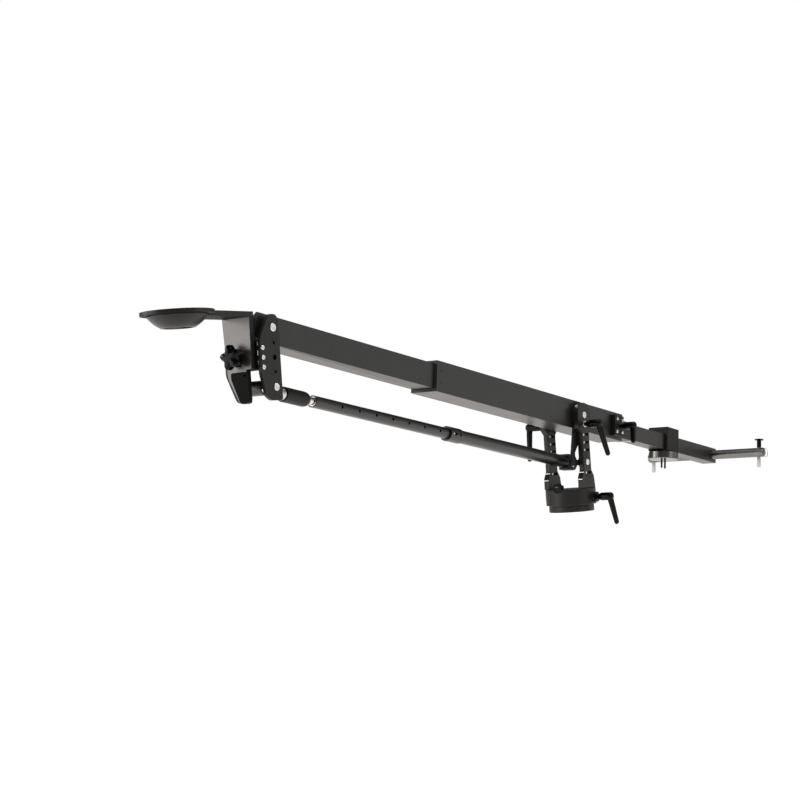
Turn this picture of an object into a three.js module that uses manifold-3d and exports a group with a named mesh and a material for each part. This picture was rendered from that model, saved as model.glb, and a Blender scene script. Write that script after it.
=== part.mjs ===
// A camera jib crane: a telescoping square arm on a turning base, with a telescoping rod below it
// that keeps the camera bowl level, a bracket with the bowl at the front and a bar for
// counterweights at the rear. Millimetres, +Z up. The origin is the centre of the base's bottom
// face, the bowl is towards -X and the near side is -Y.
import * as THREE from "three";
import { mergeVertices } from "three/addons/utils/BufferGeometryUtils.js";
import Module from "manifold-3d";

const wasm = await Module();
wasm.setup();

// Parallelogram: the arm above, the rod below it
const armSpan = 1000;
const rodDrop = 100;
const armTiltDegrees = 10;
const axleHeight = 204;

// Clearances and cuts
const gap = 0.3;
const runningGap = 0.4;
const overrun = 2;

// How many flats a round shape has
const fineSides = 32;
const roundSides = 16;
const smallSides = 8;
const hexSides = 6;
const cornerSteps = 2;

// Outer arm tube
const armWidth = 60;
const armWall = 3;
const armAhead = 514;
const armBehind = 191;
const slideBushLength = 40;

// Inner arm tube, which ends in a fork around the head bolt
const innerWidth = 48;
const innerWall = 4;
const innerOverlap = 154;
const forkReach = 27;
const forkRadius = 33;
const forkRoof = 8;
const forkBushRadius = 10;
const forkBushWall = 1.7;
const tailPadLength = 30;

// Clamp in the rear end of the outer tube, with a cheek on either side
const cheekFront = 142;
const cheekLength = 38;
const cheekHeight = 46;
const cheekThickness = 10;
const rearLeverInset = 26;
const clampSleeveWidth = 40;
const clampSleeveLength = 70;

// Rear tube, bar for the counterweights and its two hitch pins
const rearWidth = 35;
const rearWall = 3;
const rearInside = 60;
const rearEnd = 670;
const barRadius = 11;
const barLength = 310;
const barInset = 20;
const hitchInset = 14;
const hitchRadius = 4.5;
const hitchBelow = 36;
const hitchFlangeRadius = 10.5;
const hitchFlangeThickness = 3;
const hitchFlangeHeight = 29;

// Saddle that slides on the rear tube
const saddleFront = 410;
const saddleLength = 55;
const saddleWidth = 50;
const saddleFloor = 3;
const saddleRoof = 17.5;
const puckRadius = 34;
const puckThickness = 17;
const puckPinRadius = 2.2;
const puckPinLength = 20;
const puckPinSpread = 8;

// Base, spindle and bearings
const baseRadius = 48;
const baseHeight = 14.5;
const seatRadius = 30;
const seatHeight = 3.5;
const spindleRadius = 12;
const spindleFlangeRadius = 20;
const spindleFlangeThickness = 4;
const spindleStubRadius = 9;
const threadRadius = 4.2;
const threadDepth = 14;
const bearingRadius = 22;
const bearingHeight = 17.7;
const nutHeight = 5.4;
const nutRadius = 16;

// Turning housing
const housingRadius = 53.5;
const housingHeadroom = 1.3;
const housingRoof = 6;

// Uprights
const uprightThickness = 12;
const footFront = 24.5;
const footRear = 26.5;
const footWaist = 23.5;
const footRise = 24;
const columnHalf = 14.5;
const columnRise = 38;
const columnDrop = 39;
const headHalf = 25;
const headDrop = 28;
const headRadius = 26;
const slotHeight = 5.5;
const slotDepth = 3.5;
const slotFront = 11;
const slotRear = 12.5;
const slotDrops = [41.5, 58, 74, 122];
const farSpacing = 3;

// Brake plates between the outer tube and the uprights, the far one thicker by the far spacing
const brakeThickness = 3.8;
const brakeRadius = 29;
const brakeShoulderFront = 24;
const brakeShoulderDrop = 16;
const brakeTailFront = 40;
const brakeTailWidth = 13;
const brakeBendDrop = 79;
const brakeWebFront = 13;
const brakeWebDrop = 63;
const brakeEyeRadius = 12;

// Bolts on the four pivots
const armBoltRadius = 5.5;
const rodBoltRadius = 5;
const boltHeadLip = 1.5;
const boltHeadHeight = 1.2;
const socketDepth = 2;
const pivotNutLip = 4;
const pivotNutThickness = 5;
const pivotSleeveRadius = 13;

// Clamping levers
const leverStudRadius = 3;
const leverStudDepth = 9;
const leverNeckRadius = 4.6;
const leverNeckLength = 6;
const leverShoulder = 14;
const leverHubRadius = 8.5;
const leverChamfer = 0.5;
const leverHandleRoot = 6.6;
const leverHandleTip = 5.2;
const leverLeanDegrees = 5;
const nearLeverReach = 42;
const farLeverReach = 51;
const tiltLeverDrop = 19.5;
const tiltLeverOffset = -1;
const tiltLeverHandle = 74;
const nearLeverDegrees = 18;
const farLeverDegrees = 2;
const panLeverReach = 42;
const panLeverHeight = 29;
const panLeverOffset = 8;
const panLeverHandle = 62;
const panLeverDegrees = 13;
const panBossRadius = 11;
const panBossReach = 57;
const panFlangeThickness = 3;
const rearLeverReach = 38;
const rearLeverHandle = 40;
const rearLeverDegrees = -14;

// Spirit level in the front rim of the housing
const levelRadius = 11;
const levelThickness = 8;
const levelRise = 3;
const levelReach = 55;
const levelPostThickness = 8;
const levelPostHalf = 8;

// Head plates
const plateHalfGap = 34;
const plateThickness = 6;
const plateTop = 22.5;
const plateCrownHalf = 8;
const plateBack = 15;
const plateShoulder = 14;
const plateBottom = 122.5;
const plateNose = 34;
const plateNoseDrop = 17;
const plateBelly = 36;
const plateBellyDrop = 76;
const plateToe = 26;
const plateToeDrop = 115;
const plateHeel = 14.5;
const farPlateToe = 15;
const farPlateToeDrop = 116;
const farPlateHeel = 10;
const plateRound = 4;
const smallHoleRadius = 2.7;
const largeHoleRadius = 4.7;
const smallHoleDrops = [26, 74.5];
const largeHoleDrop = 50.2;

// Rings on either side of the rod eye
const eyeRingRadius = 11;
const eyeRingLength = 4;
const eyeSpacerRadius = 8;

// Post block between the head plates, with three bosses on either side for the tie screws
const postHalf = 19.5;
const postBack = 19;
const postFront = 35.5;
const postTop = 22.4;
const postBottom = 71;
const postSlope = 4.4;
const postBossRadius = 4.4;
const tieOut = 30;
const tieDrops = { upper: 34.2, middle: 50.5, lower: 66.8 };
const tieShankRadius = 2.5;
const tieHeadRadius = 4;
const tieHeadHeight = 2;

// Bracket plate, its hinge and the pad on its lower front
const bracketBack = 36.5;
const bracketThickness = 11;
const platformHalf = 30.5;
const platformTop = 27;
const platformThickness = 8.7;
const ringThickness = 6;
const waistHalf = 25;
const waistDrop = 81;
const stepNear = 28.5;
const stepDrop = 69;
const lobeDrop = 126;
const lobeNear = 17;
const lobeFar = 1;
const lobeRound = 6;
const hingeOut = 31;
const hingeDrop = 19;
const hingePinRadius = 2.5;
const hingePinDepth = 3;
const hingeLugRadius = 5;
const hingeLugThickness = 6;
const padTop = 73;
const padThickness = 6;
const padNear = 25.5;
const padFar = 12.5;
const padBendDrop = 84;
const padToe = 5;
const padFoot = 125.5;
const padRound = 3;
const padCornerRound = 8;
const padHoleRadius = 2.5;
const padHoleDrop = 79;
const padHoleNear = 18;

// Bowl for a half ball of 100 mm
const bowlOut = 185.6;
const ringRadius = 60.5;
const bowlRadius = 49.5;
const bowlFlangeRadius = 56;
const bowlFlangeThickness = 2.4;
const bowlDrop = 27;
const bowlCurveRadius = 60.6;
const bowlFootRadius = 27.5;
const ballRadius = 50;
const ballMouthRadius = 47;
const bowlSteps = 4;
const bowlSides = 48;

// Five-lobed knob through the bracket plate into the post block
const knobDrop = 48;
const knobStandoff = 8.5;
const knobThickness = 16;
const knobCoreRadius = 11;
const knobLobes = 5;
const knobLobeRadius = 5.5;
const knobLobeOut = 17;
const knobBossRadius = 8.5;
const knobStudRadius = 3;
const knobStudDepth = 14;
const knobTurnDegrees = 10;
const postBoreRadius = 5.5;

// Outer rod tube, its rear knuckle and its locking collar
const rodWidth = 26;
const rodFront = 450;
const knuckleHalf = 12;
const knuckleFront = 19;
const knuckleRadius = 16.5;
const spigotLength = 16;
const collarRadius = 14.8;
const collarAhead = 4;
const collarLength = 41;
const latchSlotInset = 8;
const latchSlotLength = 26;
const latchSlotHalf = 2.6;
const latchInset = 16;
const latchPinRadius = 2;
const latchHeadRadius = 2.4;
const latchHeadProud = 0.8;

// Inner rod tube with its row of holes
const rodInnerRadius = 11;
const rodInnerWall = 2;
const rodInnerOverlap = 110;
const holePitch = 50;
const holeInset = 71.5;
const holeRadius = 3;

// Front end of the rod
const neckRadius = 7.2;
const neckLength = 15;
const plugLength = 25;
const sleeveSetback = 61;
const sleeveLength = 65.5;
const sleeveRadius = 13.5;
const sleeveRound = 6;
const eyeCollarRadius = 11.5;
const eyeCollarLength = 20;
const eyeShankRadius = 9;
const eyeRadius = 13;
const eyeHalf = 15;

// Derived places and sizes
const armTilt = THREE.MathUtils.degToRad(armTiltDegrees);
const rodHeight = axleHeight - rodDrop;
const armHalf = armWidth / 2;
const armBore = armHalf - armWall;
const innerHalf = innerWidth / 2;
const innerBore = innerHalf - innerWall;
const innerRear = armAhead - innerOverlap;
const rearHalf = rearWidth / 2;
const clampBore = rearHalf + gap;
const clampEnd = armBehind + clampSleeveLength;
const clampSleeveHalf = clampSleeveWidth / 2;
const cheekInner = armHalf + gap;
const cheekOuter = cheekInner + cheekThickness;
const barHalf = barLength / 2;
const barAt = rearEnd - barInset;
const uprightInner = armHalf + runningGap + brakeThickness + gap;
const uprightOuter = uprightInner + uprightThickness;
const uprightFarOuter = uprightOuter + farSpacing;
const seatTop = baseHeight + seatHeight;
const bearingFoot = seatTop + gap;
const bearingTop = bearingFoot + bearingHeight;
const spindleTop = bearingTop + gap + nutHeight;
const housingFoot = baseHeight + gap;
const housingInside = spindleTop + housingHeadroom;
const housingTop = housingInside + housingRoof;
const uprightFoot = housingTop + gap;
const leverHeight = axleHeight - tiltLeverDrop;
const levelHeight = housingTop + levelRise;
const plateOuter = plateHalfGap + plateThickness;
const bracketFront = bracketBack + bracketThickness;
const platformFoot = platformTop - platformThickness;
const knobBack = bracketFront + knobStandoff;
const rodRadius = rodWidth / 2;
const rodBore = rodInnerRadius + gap;
const rodInnerBore = rodInnerRadius - rodInnerWall;
const collarFront = rodFront + collarAhead;
const collarRear = collarFront - collarLength;
const latchSlotRear = collarRear + latchSlotInset;
const latchAt = latchSlotRear + latchInset;
const sleeveFront = armSpan - sleeveSetback;
const sleeveRear = sleeveFront - sleeveLength;
const rodInnerFront = sleeveRear - neckLength;
const rodInnerRear = rodFront - rodInnerOverlap;
const holeFront = rodInnerFront - holeInset;
const holeCount = Math.floor((holeFront - rodInnerRear) / holePitch) + 1;

// Finishes
function finish(color, metalness, roughness) {
  return new THREE.MeshStandardMaterial({ color, metalness, roughness });
}
const blackAnodised = finish(0x24221f, 0.6, 0.42);
const blackPaint = finish(0x1d1c1a, 0.2, 0.5);
const blackPlastic = finish(0x161616, 0, 0.45);
const brightSteel = finish(0xc9c9c7, 1, 0.25);
const satinAluminium = finish(0xa5a4a0, 0.9, 0.4);
const greyBush = finish(0x3a3a38, 0, 0.6);
const levelBlack = finish(0x10100f, 0.1, 0.3);

// Closed solids: shared vertices are merged and the faces point out
function signedVolume(place, index) {
  const corners = [new THREE.Vector3(), new THREE.Vector3(), new THREE.Vector3()];
  let total = 0;
  for (let i = 0; i < index.length; i += 3) {
    corners.forEach((corner, k) => corner.fromBufferAttribute(place, index[i + k]));
    total += corners[0].dot(corners[1].cross(corners[2]));
  }
  return total;
}

function closed(geometry) {
  geometry.deleteAttribute("normal");
  geometry.deleteAttribute("uv");
  const merged = mergeVertices(geometry);
  const place = merged.getAttribute("position");
  const source = merged.getIndex().array;
  const index = [];
  for (let i = 0; i < source.length; i += 3) {
    const [a, b, c] = [source[i], source[i + 1], source[i + 2]];
    if (a !== b && b !== c && c !== a) index.push(a, b, c);
  }
  if (signedVolume(place, index) < 0) index.reverse();
  merged.setIndex(index);
  return merged;
}

function toSolid(geometry) {
  const body = closed(geometry);
  return new wasm.Manifold(new wasm.Mesh({
    numProp: 3,
    vertProperties: new Float32Array(body.getAttribute("position").array),
    triVerts: new Uint32Array(body.getIndex().array),
  }));
}

function toGeometry(solid) {
  const mesh = solid.getMesh();
  const geometry = new THREE.BufferGeometry();
  geometry.setAttribute("position", new THREE.BufferAttribute(mesh.vertProperties, 3));
  geometry.setIndex(new THREE.BufferAttribute(mesh.triVerts, 1));
  return geometry;
}

function join(...geometries) {
  return toGeometry(geometries.map(toSolid).reduce((whole, addition) => whole.add(addition)));
}

function cut(geometry, ...cutters) {
  return toGeometry(
    cutters.map(toSolid).reduce((rest, cutter) => rest.subtract(cutter), toSolid(geometry)));
}

function common(first, second) {
  return toGeometry(toSolid(first).intersect(toSolid(second)));
}

function mirrored(geometry) {
  return closed(geometry.clone().scale(1, -1, 1));
}

function bothSides(geometry) {
  return join(geometry.clone(), mirrored(geometry));
}

// Plain shapes, given by the places of their ends
function block(x0, x1, y0, y1, z0, z1) {
  const box = new THREE.BoxGeometry(Math.abs(x1 - x0), Math.abs(y1 - y0), Math.abs(z1 - z0));
  return box.translate((x0 + x1) / 2, (y0 + y1) / 2, (z0 + z1) / 2);
}

function roundAlongX(radius, x0, x1, y, z, sides = roundSides) {
  const cylinder = new THREE.CylinderGeometry(radius, radius, Math.abs(x1 - x0), sides);
  return cylinder.rotateZ(Math.PI / 2).translate((x0 + x1) / 2, y, z);
}

function roundAlongY(radius, y0, y1, x, z, sides = roundSides) {
  const cylinder = new THREE.CylinderGeometry(radius, radius, Math.abs(y1 - y0), sides);
  return cylinder.translate(x, (y0 + y1) / 2, z);
}

function roundAlongZ(radius, z0, z1, x, y, sides = roundSides) {
  const cylinder = new THREE.CylinderGeometry(radius, radius, Math.abs(z1 - z0), sides);
  return cylinder.rotateX(Math.PI / 2).translate(x, y, (z0 + z1) / 2);
}

// A profile of [radius, place along the axis] points, turned about its axis
function turned(profile, sides) {
  const points = profile.map(([radius, along]) => new THREE.Vector2(radius, along));
  return new THREE.LatheGeometry([...points, points[0].clone()], sides);
}

function turnedAboutX(profile) {
  return turned(profile, fineSides).rotateZ(-Math.PI / 2);
}

function turnedAboutZ(profile, sides = fineSides) {
  return turned(profile, sides).rotateX(Math.PI / 2);
}

function ring(outer, inner, z0, z1, sides = fineSides) {
  return turnedAboutZ([[inner, z0], [outer, z0], [outer, z1], [inner, z1]], sides);
}

// An outline of [across, up, rounding] corners; a corner with no rounding stays sharp
function outline(corners) {
  const places = corners.map(([across, up]) => new THREE.Vector2(across, up));
  const shape = new THREE.Shape();
  corners.forEach(([across, up, rounding = 0], k) => {
    const corner = places[k];
    const before = places.at(k - 1);
    const after = places[(k + 1) % places.length];
    const start = corner.clone().add(before.clone().sub(corner).setLength(rounding));
    const end = corner.clone().add(after.clone().sub(corner).setLength(rounding));
    if (k === 0) shape.moveTo(start.x, start.y);
    else shape.lineTo(start.x, start.y);
    if (rounding > 0) shape.quadraticCurveTo(across, up, end.x, end.y);
  });
  return shape;
}

function slab(shape, depth, curveSegments = cornerSteps) {
  return new THREE.ExtrudeGeometry(shape, { depth, bevelEnabled: false, curveSegments });
}

function slabAlongX(shape, x0, x1) {
  const turn = new THREE.Matrix4().makeBasis(
    new THREE.Vector3(0, 1, 0), new THREE.Vector3(0, 0, 1), new THREE.Vector3(1, 0, 0));
  return slab(shape, Math.abs(x1 - x0)).applyMatrix4(turn).translate(Math.min(x0, x1), 0, 0);
}

function slabAlongY(shape, y0, y1, curveSegments = cornerSteps) {
  const turnedSlab = slab(shape, Math.abs(y1 - y0), curveSegments).rotateX(Math.PI / 2);
  return turnedSlab.translate(0, Math.max(y0, y1), 0);
}

function squareTube(outer, inner, x0, x1) {
  const core = block(x0 - overrun, x1 + overrun, -inner, inner, -inner, inner);
  return cut(block(x0, x1, -outer, outer, -outer, outer), core);
}

// The crane is built in three groups that turn about their own pivots
const crane = new THREE.Group();
const arm = new THREE.Group();
const rod = new THREE.Group();
const head = new THREE.Group();
crane.add(arm, rod, head);
arm.position.set(0, 0, axleHeight);
arm.rotation.y = armTilt;
rod.position.set(0, 0, rodHeight);
rod.rotation.y = armTilt;
head.position.set(-armSpan * Math.cos(armTilt), 0, axleHeight + armSpan * Math.sin(armTilt));

function piece(parent, name, geometry, material) {
  const body = closed(geometry);
  body.computeVertexNormals();
  const mesh = new THREE.Mesh(body, material);
  mesh.name = name;
  parent.add(mesh);
}

// A pivot bolt along Y, with its head on the near side and its nut on the far side
function pivotBolt(radius, nearOut, farOut, x, z) {
  const headOut = nearOut + gap + boltHeadHeight;
  const shank = roundAlongY(radius, -nearOut - overrun, farOut + gap + pivotNutThickness, x, z);
  const boltHead = roundAlongY(radius + boltHeadLip, -headOut, -nearOut - gap, x, z);
  const socket = roundAlongY(
    radius - boltHeadLip, -headOut - overrun, -headOut + socketDepth, x, z, hexSides);
  return cut(join(shank, boltHead), socket);
}

function pivotNut(radius, faceOut, x, z) {
  const nut = roundAlongY(
    radius + pivotNutLip, faceOut + gap, faceOut + gap + pivotNutThickness, x, z, hexSides);
  return cut(nut, pivotHole(radius, faceOut, faceOut + pivotNutThickness + gap, x, z));
}

function pivotHole(radius, y0, y1, x, z) {
  return roundAlongY(radius + gap, y0 - overrun, y1 + overrun, x, z);
}

// A clamping lever on the far side, with its seat at y = 0: a stud, a swelling hub and a handle
function clampLever(reach, handleLength, handleDegrees, flangeThickness = 0) {
  const flangeTop = gap + flangeThickness + leverChamfer;
  const flangeRadius = flangeThickness > 0 ? panBossRadius : leverNeckRadius;
  const hub = turned([
    [0, -leverStudDepth], [leverStudRadius, -leverStudDepth], [leverStudRadius, gap],
    [flangeRadius, gap], [flangeRadius, flangeTop], [leverNeckRadius, flangeTop + leverChamfer],
    [leverNeckRadius, leverNeckLength], [leverHubRadius, leverShoulder],
    [leverHubRadius, reach - leverHubRadius / 2], [leverHubRadius / 2, reach], [0, reach],
  ], roundSides);
  const handle = turned([
    [0, 0], [leverHandleRoot, 0], [leverHandleTip, handleLength - leverHandleTip],
    [leverHandleTip / 2, handleLength], [0, handleLength],
  ], smallSides);
  const swing = THREE.MathUtils.degToRad(handleDegrees);
  const lean = THREE.MathUtils.degToRad(leverLeanDegrees);
  const down = new THREE.Vector3(
    Math.sin(swing) * Math.cos(lean), Math.sin(lean), -Math.cos(swing) * Math.cos(lean));
  const upright = new THREE.Vector3(0, 1, 0);
  handle.applyQuaternion(new THREE.Quaternion().setFromUnitVectors(upright, down));
  handle.translate(0, reach - leverHubRadius, 0);
  return join(hub, handle);
}

// A blind hole for a lever's stud, from a face on the far side inwards
function studHole(faceOut, x, z) {
  return roundAlongY(leverStudRadius + gap, faceOut - leverStudDepth - gap, faceOut + overrun, x, z);
}

// Base ring, with a counterbore below for the spindle's flange and a raised seat for the bearings
piece(crane, "base_ring", turnedAboutZ([
  [spindleRadius + gap, spindleFlangeThickness + gap],
  [spindleFlangeRadius + gap, spindleFlangeThickness + gap],
  [spindleFlangeRadius + gap, 0], [baseRadius, 0], [baseRadius, baseHeight],
  [seatRadius, baseHeight], [seatRadius, seatTop], [spindleRadius + gap, seatTop],
]), blackAnodised);

// Pan spindle, with a blind threaded hole for the tripod from below
piece(crane, "pan_spindle", turnedAboutZ([
  [0, threadDepth], [threadRadius, threadDepth], [threadRadius, 0], [spindleFlangeRadius, 0],
  [spindleFlangeRadius, spindleFlangeThickness], [spindleRadius, spindleFlangeThickness],
  [spindleRadius, bearingTop], [spindleStubRadius, bearingTop],
  [spindleStubRadius, spindleTop], [0, spindleTop],
]), brightSteel);

// Bearing on the seat, and the nut that holds it down
piece(crane, "pan_bearing", ring(bearingRadius, spindleRadius + gap, bearingFoot, bearingTop), brightSteel);
piece(crane, "spindle_nut", ring(
  nutRadius, spindleStubRadius + gap, bearingTop + gap, spindleTop, roundSides), brightSteel);

// Turning housing: a cap over the bearings, with the pan lever's boss and the level's pocket
const housingCap = turnedAboutZ([
  [0, housingTop], [0, housingInside], [bearingRadius + gap, housingInside],
  [bearingRadius + gap, seatTop + runningGap], [seatRadius + runningGap, seatTop + runningGap],
  [seatRadius + runningGap, housingFoot], [housingRadius, housingFoot], [housingRadius, housingTop],
]);
const panBoss = roundAlongY(
  panBossRadius, -panBossReach, -housingRadius + panBossRadius, panLeverOffset, panLeverHeight);
const panStudHole = mirrored(studHole(panBossReach, panLeverOffset, panLeverHeight));
const levelPocket = roundAlongX(
  levelRadius + gap, -levelReach - overrun, -levelReach + levelThickness + gap, 0, levelHeight);
piece(crane, "pan_housing", cut(join(housingCap, panBoss), panStudHole, levelPocket), blackAnodised);

// Uprights: a wide foot, a column with slots in both faces and a round head
function makeUpright() {
  const shape = new THREE.Shape();
  shape.moveTo(-footFront, uprightFoot);
  shape.lineTo(footRear, uprightFoot);
  shape.lineTo(footWaist, housingTop + footRise);
  shape.lineTo(columnHalf, housingTop + columnRise);
  shape.lineTo(columnHalf, axleHeight - columnDrop);
  shape.lineTo(headHalf, axleHeight - headDrop);
  shape.lineTo(headRadius, axleHeight);
  shape.absarc(0, axleHeight, headRadius, 0, Math.PI, false);
  shape.lineTo(-headHalf, axleHeight - headDrop);
  shape.lineTo(-columnHalf, axleHeight - columnDrop);
  shape.lineTo(-columnHalf, housingTop + columnRise);
  shape.lineTo(-footWaist, housingTop + footRise);
  const slots = slotDrops.flatMap((drop) => {
    const middle = axleHeight - drop;
    const [low, high] = [middle - slotHeight / 2, middle + slotHeight / 2];
    return [
      block(-slotFront, slotRear, uprightOuter - slotDepth, uprightOuter + overrun, low, high),
      block(-slotFront, slotRear, uprightInner - overrun, uprightInner + slotDepth, low, high),
    ];
  });
  return cut(
    slabAlongY(shape, uprightInner, uprightOuter, smallSides), ...slots,
    pivotHole(armBoltRadius, uprightInner, uprightOuter, 0, axleHeight),
    pivotHole(rodBoltRadius, uprightInner, uprightOuter, 0, rodHeight),
    studHole(uprightOuter, tiltLeverOffset, leverHeight));
}
const upright = makeUpright();
piece(crane, "upright_near", mirrored(upright), blackAnodised);
piece(crane, "upright_far", upright.translate(0, farSpacing, 0), blackAnodised);

// Brake plates: a disc beside the outer tube, and on the near side a tail down to the rod bolt
const brakeInner = armHalf + runningGap;
function makeBrakeDisc(outer) {
  return cut(
    roundAlongY(brakeRadius, brakeInner, outer, 0, axleHeight, fineSides),
    pivotHole(armBoltRadius, brakeInner, outer, 0, axleHeight));
}
function makeTailedBrakePlate() {
  const inner = brakeInner;
  const outer = inner + brakeThickness;
  const tailFoot = rodHeight - brakeEyeRadius / 2;
  const tailBack = brakeTailWidth - brakeTailFront;
  const tail = slabAlongY(outline([
    [-brakeShoulderFront, axleHeight - brakeShoulderDrop],
    [-brakeTailFront, axleHeight - brakeBendDrop], [-brakeTailFront, tailFoot],
    [tailBack, tailFoot], [tailBack, axleHeight - brakeBendDrop],
    [-brakeWebFront, axleHeight - brakeWebDrop], [0, axleHeight]]), inner, outer);
  const foot = block(-brakeTailFront, 0, inner, outer, tailFoot, tailFoot + brakeEyeRadius);
  const eye = roundAlongY(brakeEyeRadius, inner, outer, 0, rodHeight);
  return cut(
    join(makeBrakeDisc(outer), tail, foot, eye),
    pivotHole(armBoltRadius, inner, outer, 0, axleHeight),
    pivotHole(rodBoltRadius, inner, outer, 0, rodHeight));
}
piece(crane, "brake_plate_near", mirrored(makeTailedBrakePlate()), blackPaint);
piece(crane, "brake_plate_far", makeBrakeDisc(brakeInner + brakeThickness + farSpacing), blackPaint);

// Pivot bolts through the uprights
piece(crane, "tilt_bolt", pivotBolt(
  armBoltRadius, uprightOuter, uprightFarOuter, 0, axleHeight), brightSteel);
piece(crane, "rod_bolt", pivotBolt(
  rodBoltRadius, uprightOuter, uprightFarOuter, 0, rodHeight), brightSteel);
piece(crane, "tilt_nut", pivotNut(armBoltRadius, uprightFarOuter, 0, axleHeight), brightSteel);
piece(crane, "rod_nut", pivotNut(rodBoltRadius, uprightFarOuter, 0, rodHeight), brightSteel);

// Spirit level: a disc in the housing's front rim, backed by a small post
const levelFace = -levelReach + levelThickness;
piece(crane, "level_vial", roundAlongX(levelRadius, -levelReach, levelFace, 0, levelHeight), levelBlack);
piece(crane, "level_bracket", block(
  levelFace + gap, levelFace + gap + levelPostThickness, -levelPostHalf, levelPostHalf,
  housingTop + gap, levelHeight + levelRadius / 2), blackPaint);

// Clamping levers for pan and tilt
piece(crane, "pan_lever",
  mirrored(clampLever(panLeverReach, panLeverHandle, panLeverDegrees, panFlangeThickness))
    .translate(panLeverOffset, -panBossReach, panLeverHeight), blackPlastic);
piece(crane, "tilt_lever_near",
  mirrored(clampLever(nearLeverReach, tiltLeverHandle, nearLeverDegrees))
    .translate(tiltLeverOffset, -uprightOuter, leverHeight), blackPlastic);
piece(crane, "tilt_lever_far",
  clampLever(farLeverReach, tiltLeverHandle, farLeverDegrees)
    .translate(tiltLeverOffset, uprightFarOuter, leverHeight), blackPlastic);

// Outer arm tube, drilled for the tilt bolt
piece(arm, "arm_tube_outer", cut(
  squareTube(armHalf, armBore, -armAhead, armBehind),
  pivotHole(armBoltRadius, -armHalf, armHalf, 0, 0)), blackAnodised);

// Slide bush in the front end of the outer tube
piece(arm, "front_slide_bush", squareTube(
  armBore - gap, innerHalf + gap, -armAhead, -armAhead + slideBushLength), greyBush);

// Sleeve inside the outer tube around the tilt bolt
piece(arm, "pivot_sleeve", cut(
  roundAlongY(pivotSleeveRadius, -armBore + gap, armBore - gap, 0, 0),
  pivotHole(armBoltRadius, -armBore, armBore, 0, 0)), brightSteel);

// Rear clamp: a block inside the outer tube that goes on as a sleeve round the rear tube
const clampBlockHalf = armBore - gap;
piece(arm, "rear_clamp_body", cut(
  join(
    block(cheekFront - gap, armBehind, -clampBlockHalf, clampBlockHalf, -clampBlockHalf, clampBlockHalf),
    block(cheekFront, clampEnd, -clampSleeveHalf, clampSleeveHalf, -clampSleeveHalf, clampSleeveHalf)),
  block(cheekFront - overrun, clampEnd + overrun, -clampBore, clampBore, -clampBore, clampBore),
), blackAnodised);

// Clamp cheeks on the outer tube's sides, and the near cheek's lever
const rearLeverAt = cheekFront + rearLeverInset;
const clampCheekFar = cut(
  block(cheekFront, cheekFront + cheekLength, cheekInner, cheekOuter, -cheekHeight / 2, cheekHeight / 2),
  studHole(cheekOuter, rearLeverAt, 0));
piece(arm, "clamp_cheek_near", mirrored(clampCheekFar), blackPaint);
piece(arm, "clamp_cheek_far", clampCheekFar, blackPaint);
piece(arm, "rear_lever",
  mirrored(clampLever(rearLeverReach, rearLeverHandle, rearLeverDegrees - armTiltDegrees))
    .translate(rearLeverAt, -cheekOuter, 0), blackPlastic);

// Inner arm tube: its side walls go on as the fork's ears, rounded about the head bolt
function makeInnerTube() {
  const start = -armSpan - forkReach;
  const body = squareTube(innerHalf, innerBore, start, -innerRear);
  const keep = join(
    roundAlongY(forkRadius, -armHalf, armHalf, -armSpan, 0, fineSides),
    block(-armSpan, -innerRear + overrun, -armHalf, armHalf, -armHalf, armHalf));
  const roofCut = block(start - overrun, -armSpan - forkRoof, -innerBore, innerBore, -armHalf, armHalf);
  const boltCut = roundAlongY(armBoltRadius + forkBushWall + 2 * gap, -armHalf, armHalf, -armSpan, 0);
  return cut(common(body, keep), roofCut, boltCut);
}
piece(arm, "arm_tube_inner", makeInnerTube(), blackAnodised);

// Flanged bushes in the fork's ears
function makeForkBush() {
  const flange = roundAlongY(forkBushRadius, innerHalf + gap, plateHalfGap - gap, -armSpan, 0);
  const spigot = roundAlongY(
    armBoltRadius + gap + forkBushWall, innerBore, innerHalf + overrun, -armSpan, 0);
  return cut(join(flange, spigot), pivotHole(armBoltRadius, innerBore, plateHalfGap, -armSpan, 0));
}
const forkBushFar = makeForkBush();
piece(arm, "fork_bush_near", mirrored(forkBushFar), greyBush);
piece(arm, "fork_bush_far", forkBushFar, greyBush);

// Slide pad round the inner tube's rear end
piece(arm, "inner_tail_pad", squareTube(
  armBore - gap, innerHalf + gap, -innerRear - tailPadLength, -innerRear), greyBush);

// Rear tube, drilled for the weight bar
piece(arm, "rear_tube", cut(
  squareTube(rearHalf, rearHalf - rearWall, rearInside, rearEnd),
  roundAlongY(barRadius + gap, -rearHalf - overrun, rearHalf + overrun, barAt, 0)), blackAnodised);

// Weight bar, drilled near its ends for the hitch pins
const hitchOut = barHalf - hitchInset;
piece(arm, "weight_bar", cut(
  roundAlongY(barRadius, -barHalf, barHalf, barAt, 0),
  ...[-hitchOut, hitchOut].map((y) => roundAlongZ(
    hitchRadius + gap, -barRadius - overrun, barRadius + overrun, barAt, y, smallSides))), satinAluminium);
[["near", -hitchOut], ["far", hitchOut]].forEach(([side, y]) => {
  const shaft = roundAlongZ(
    hitchRadius, -hitchBelow, hitchFlangeHeight + hitchFlangeThickness / 2, barAt, y, smallSides);
  const flange = roundAlongZ(
    hitchFlangeRadius, hitchFlangeHeight, hitchFlangeHeight + hitchFlangeThickness, barAt, y);
  piece(arm, `hitch_pin_${side}`, join(shaft, flange), brightSteel);
});

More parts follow.
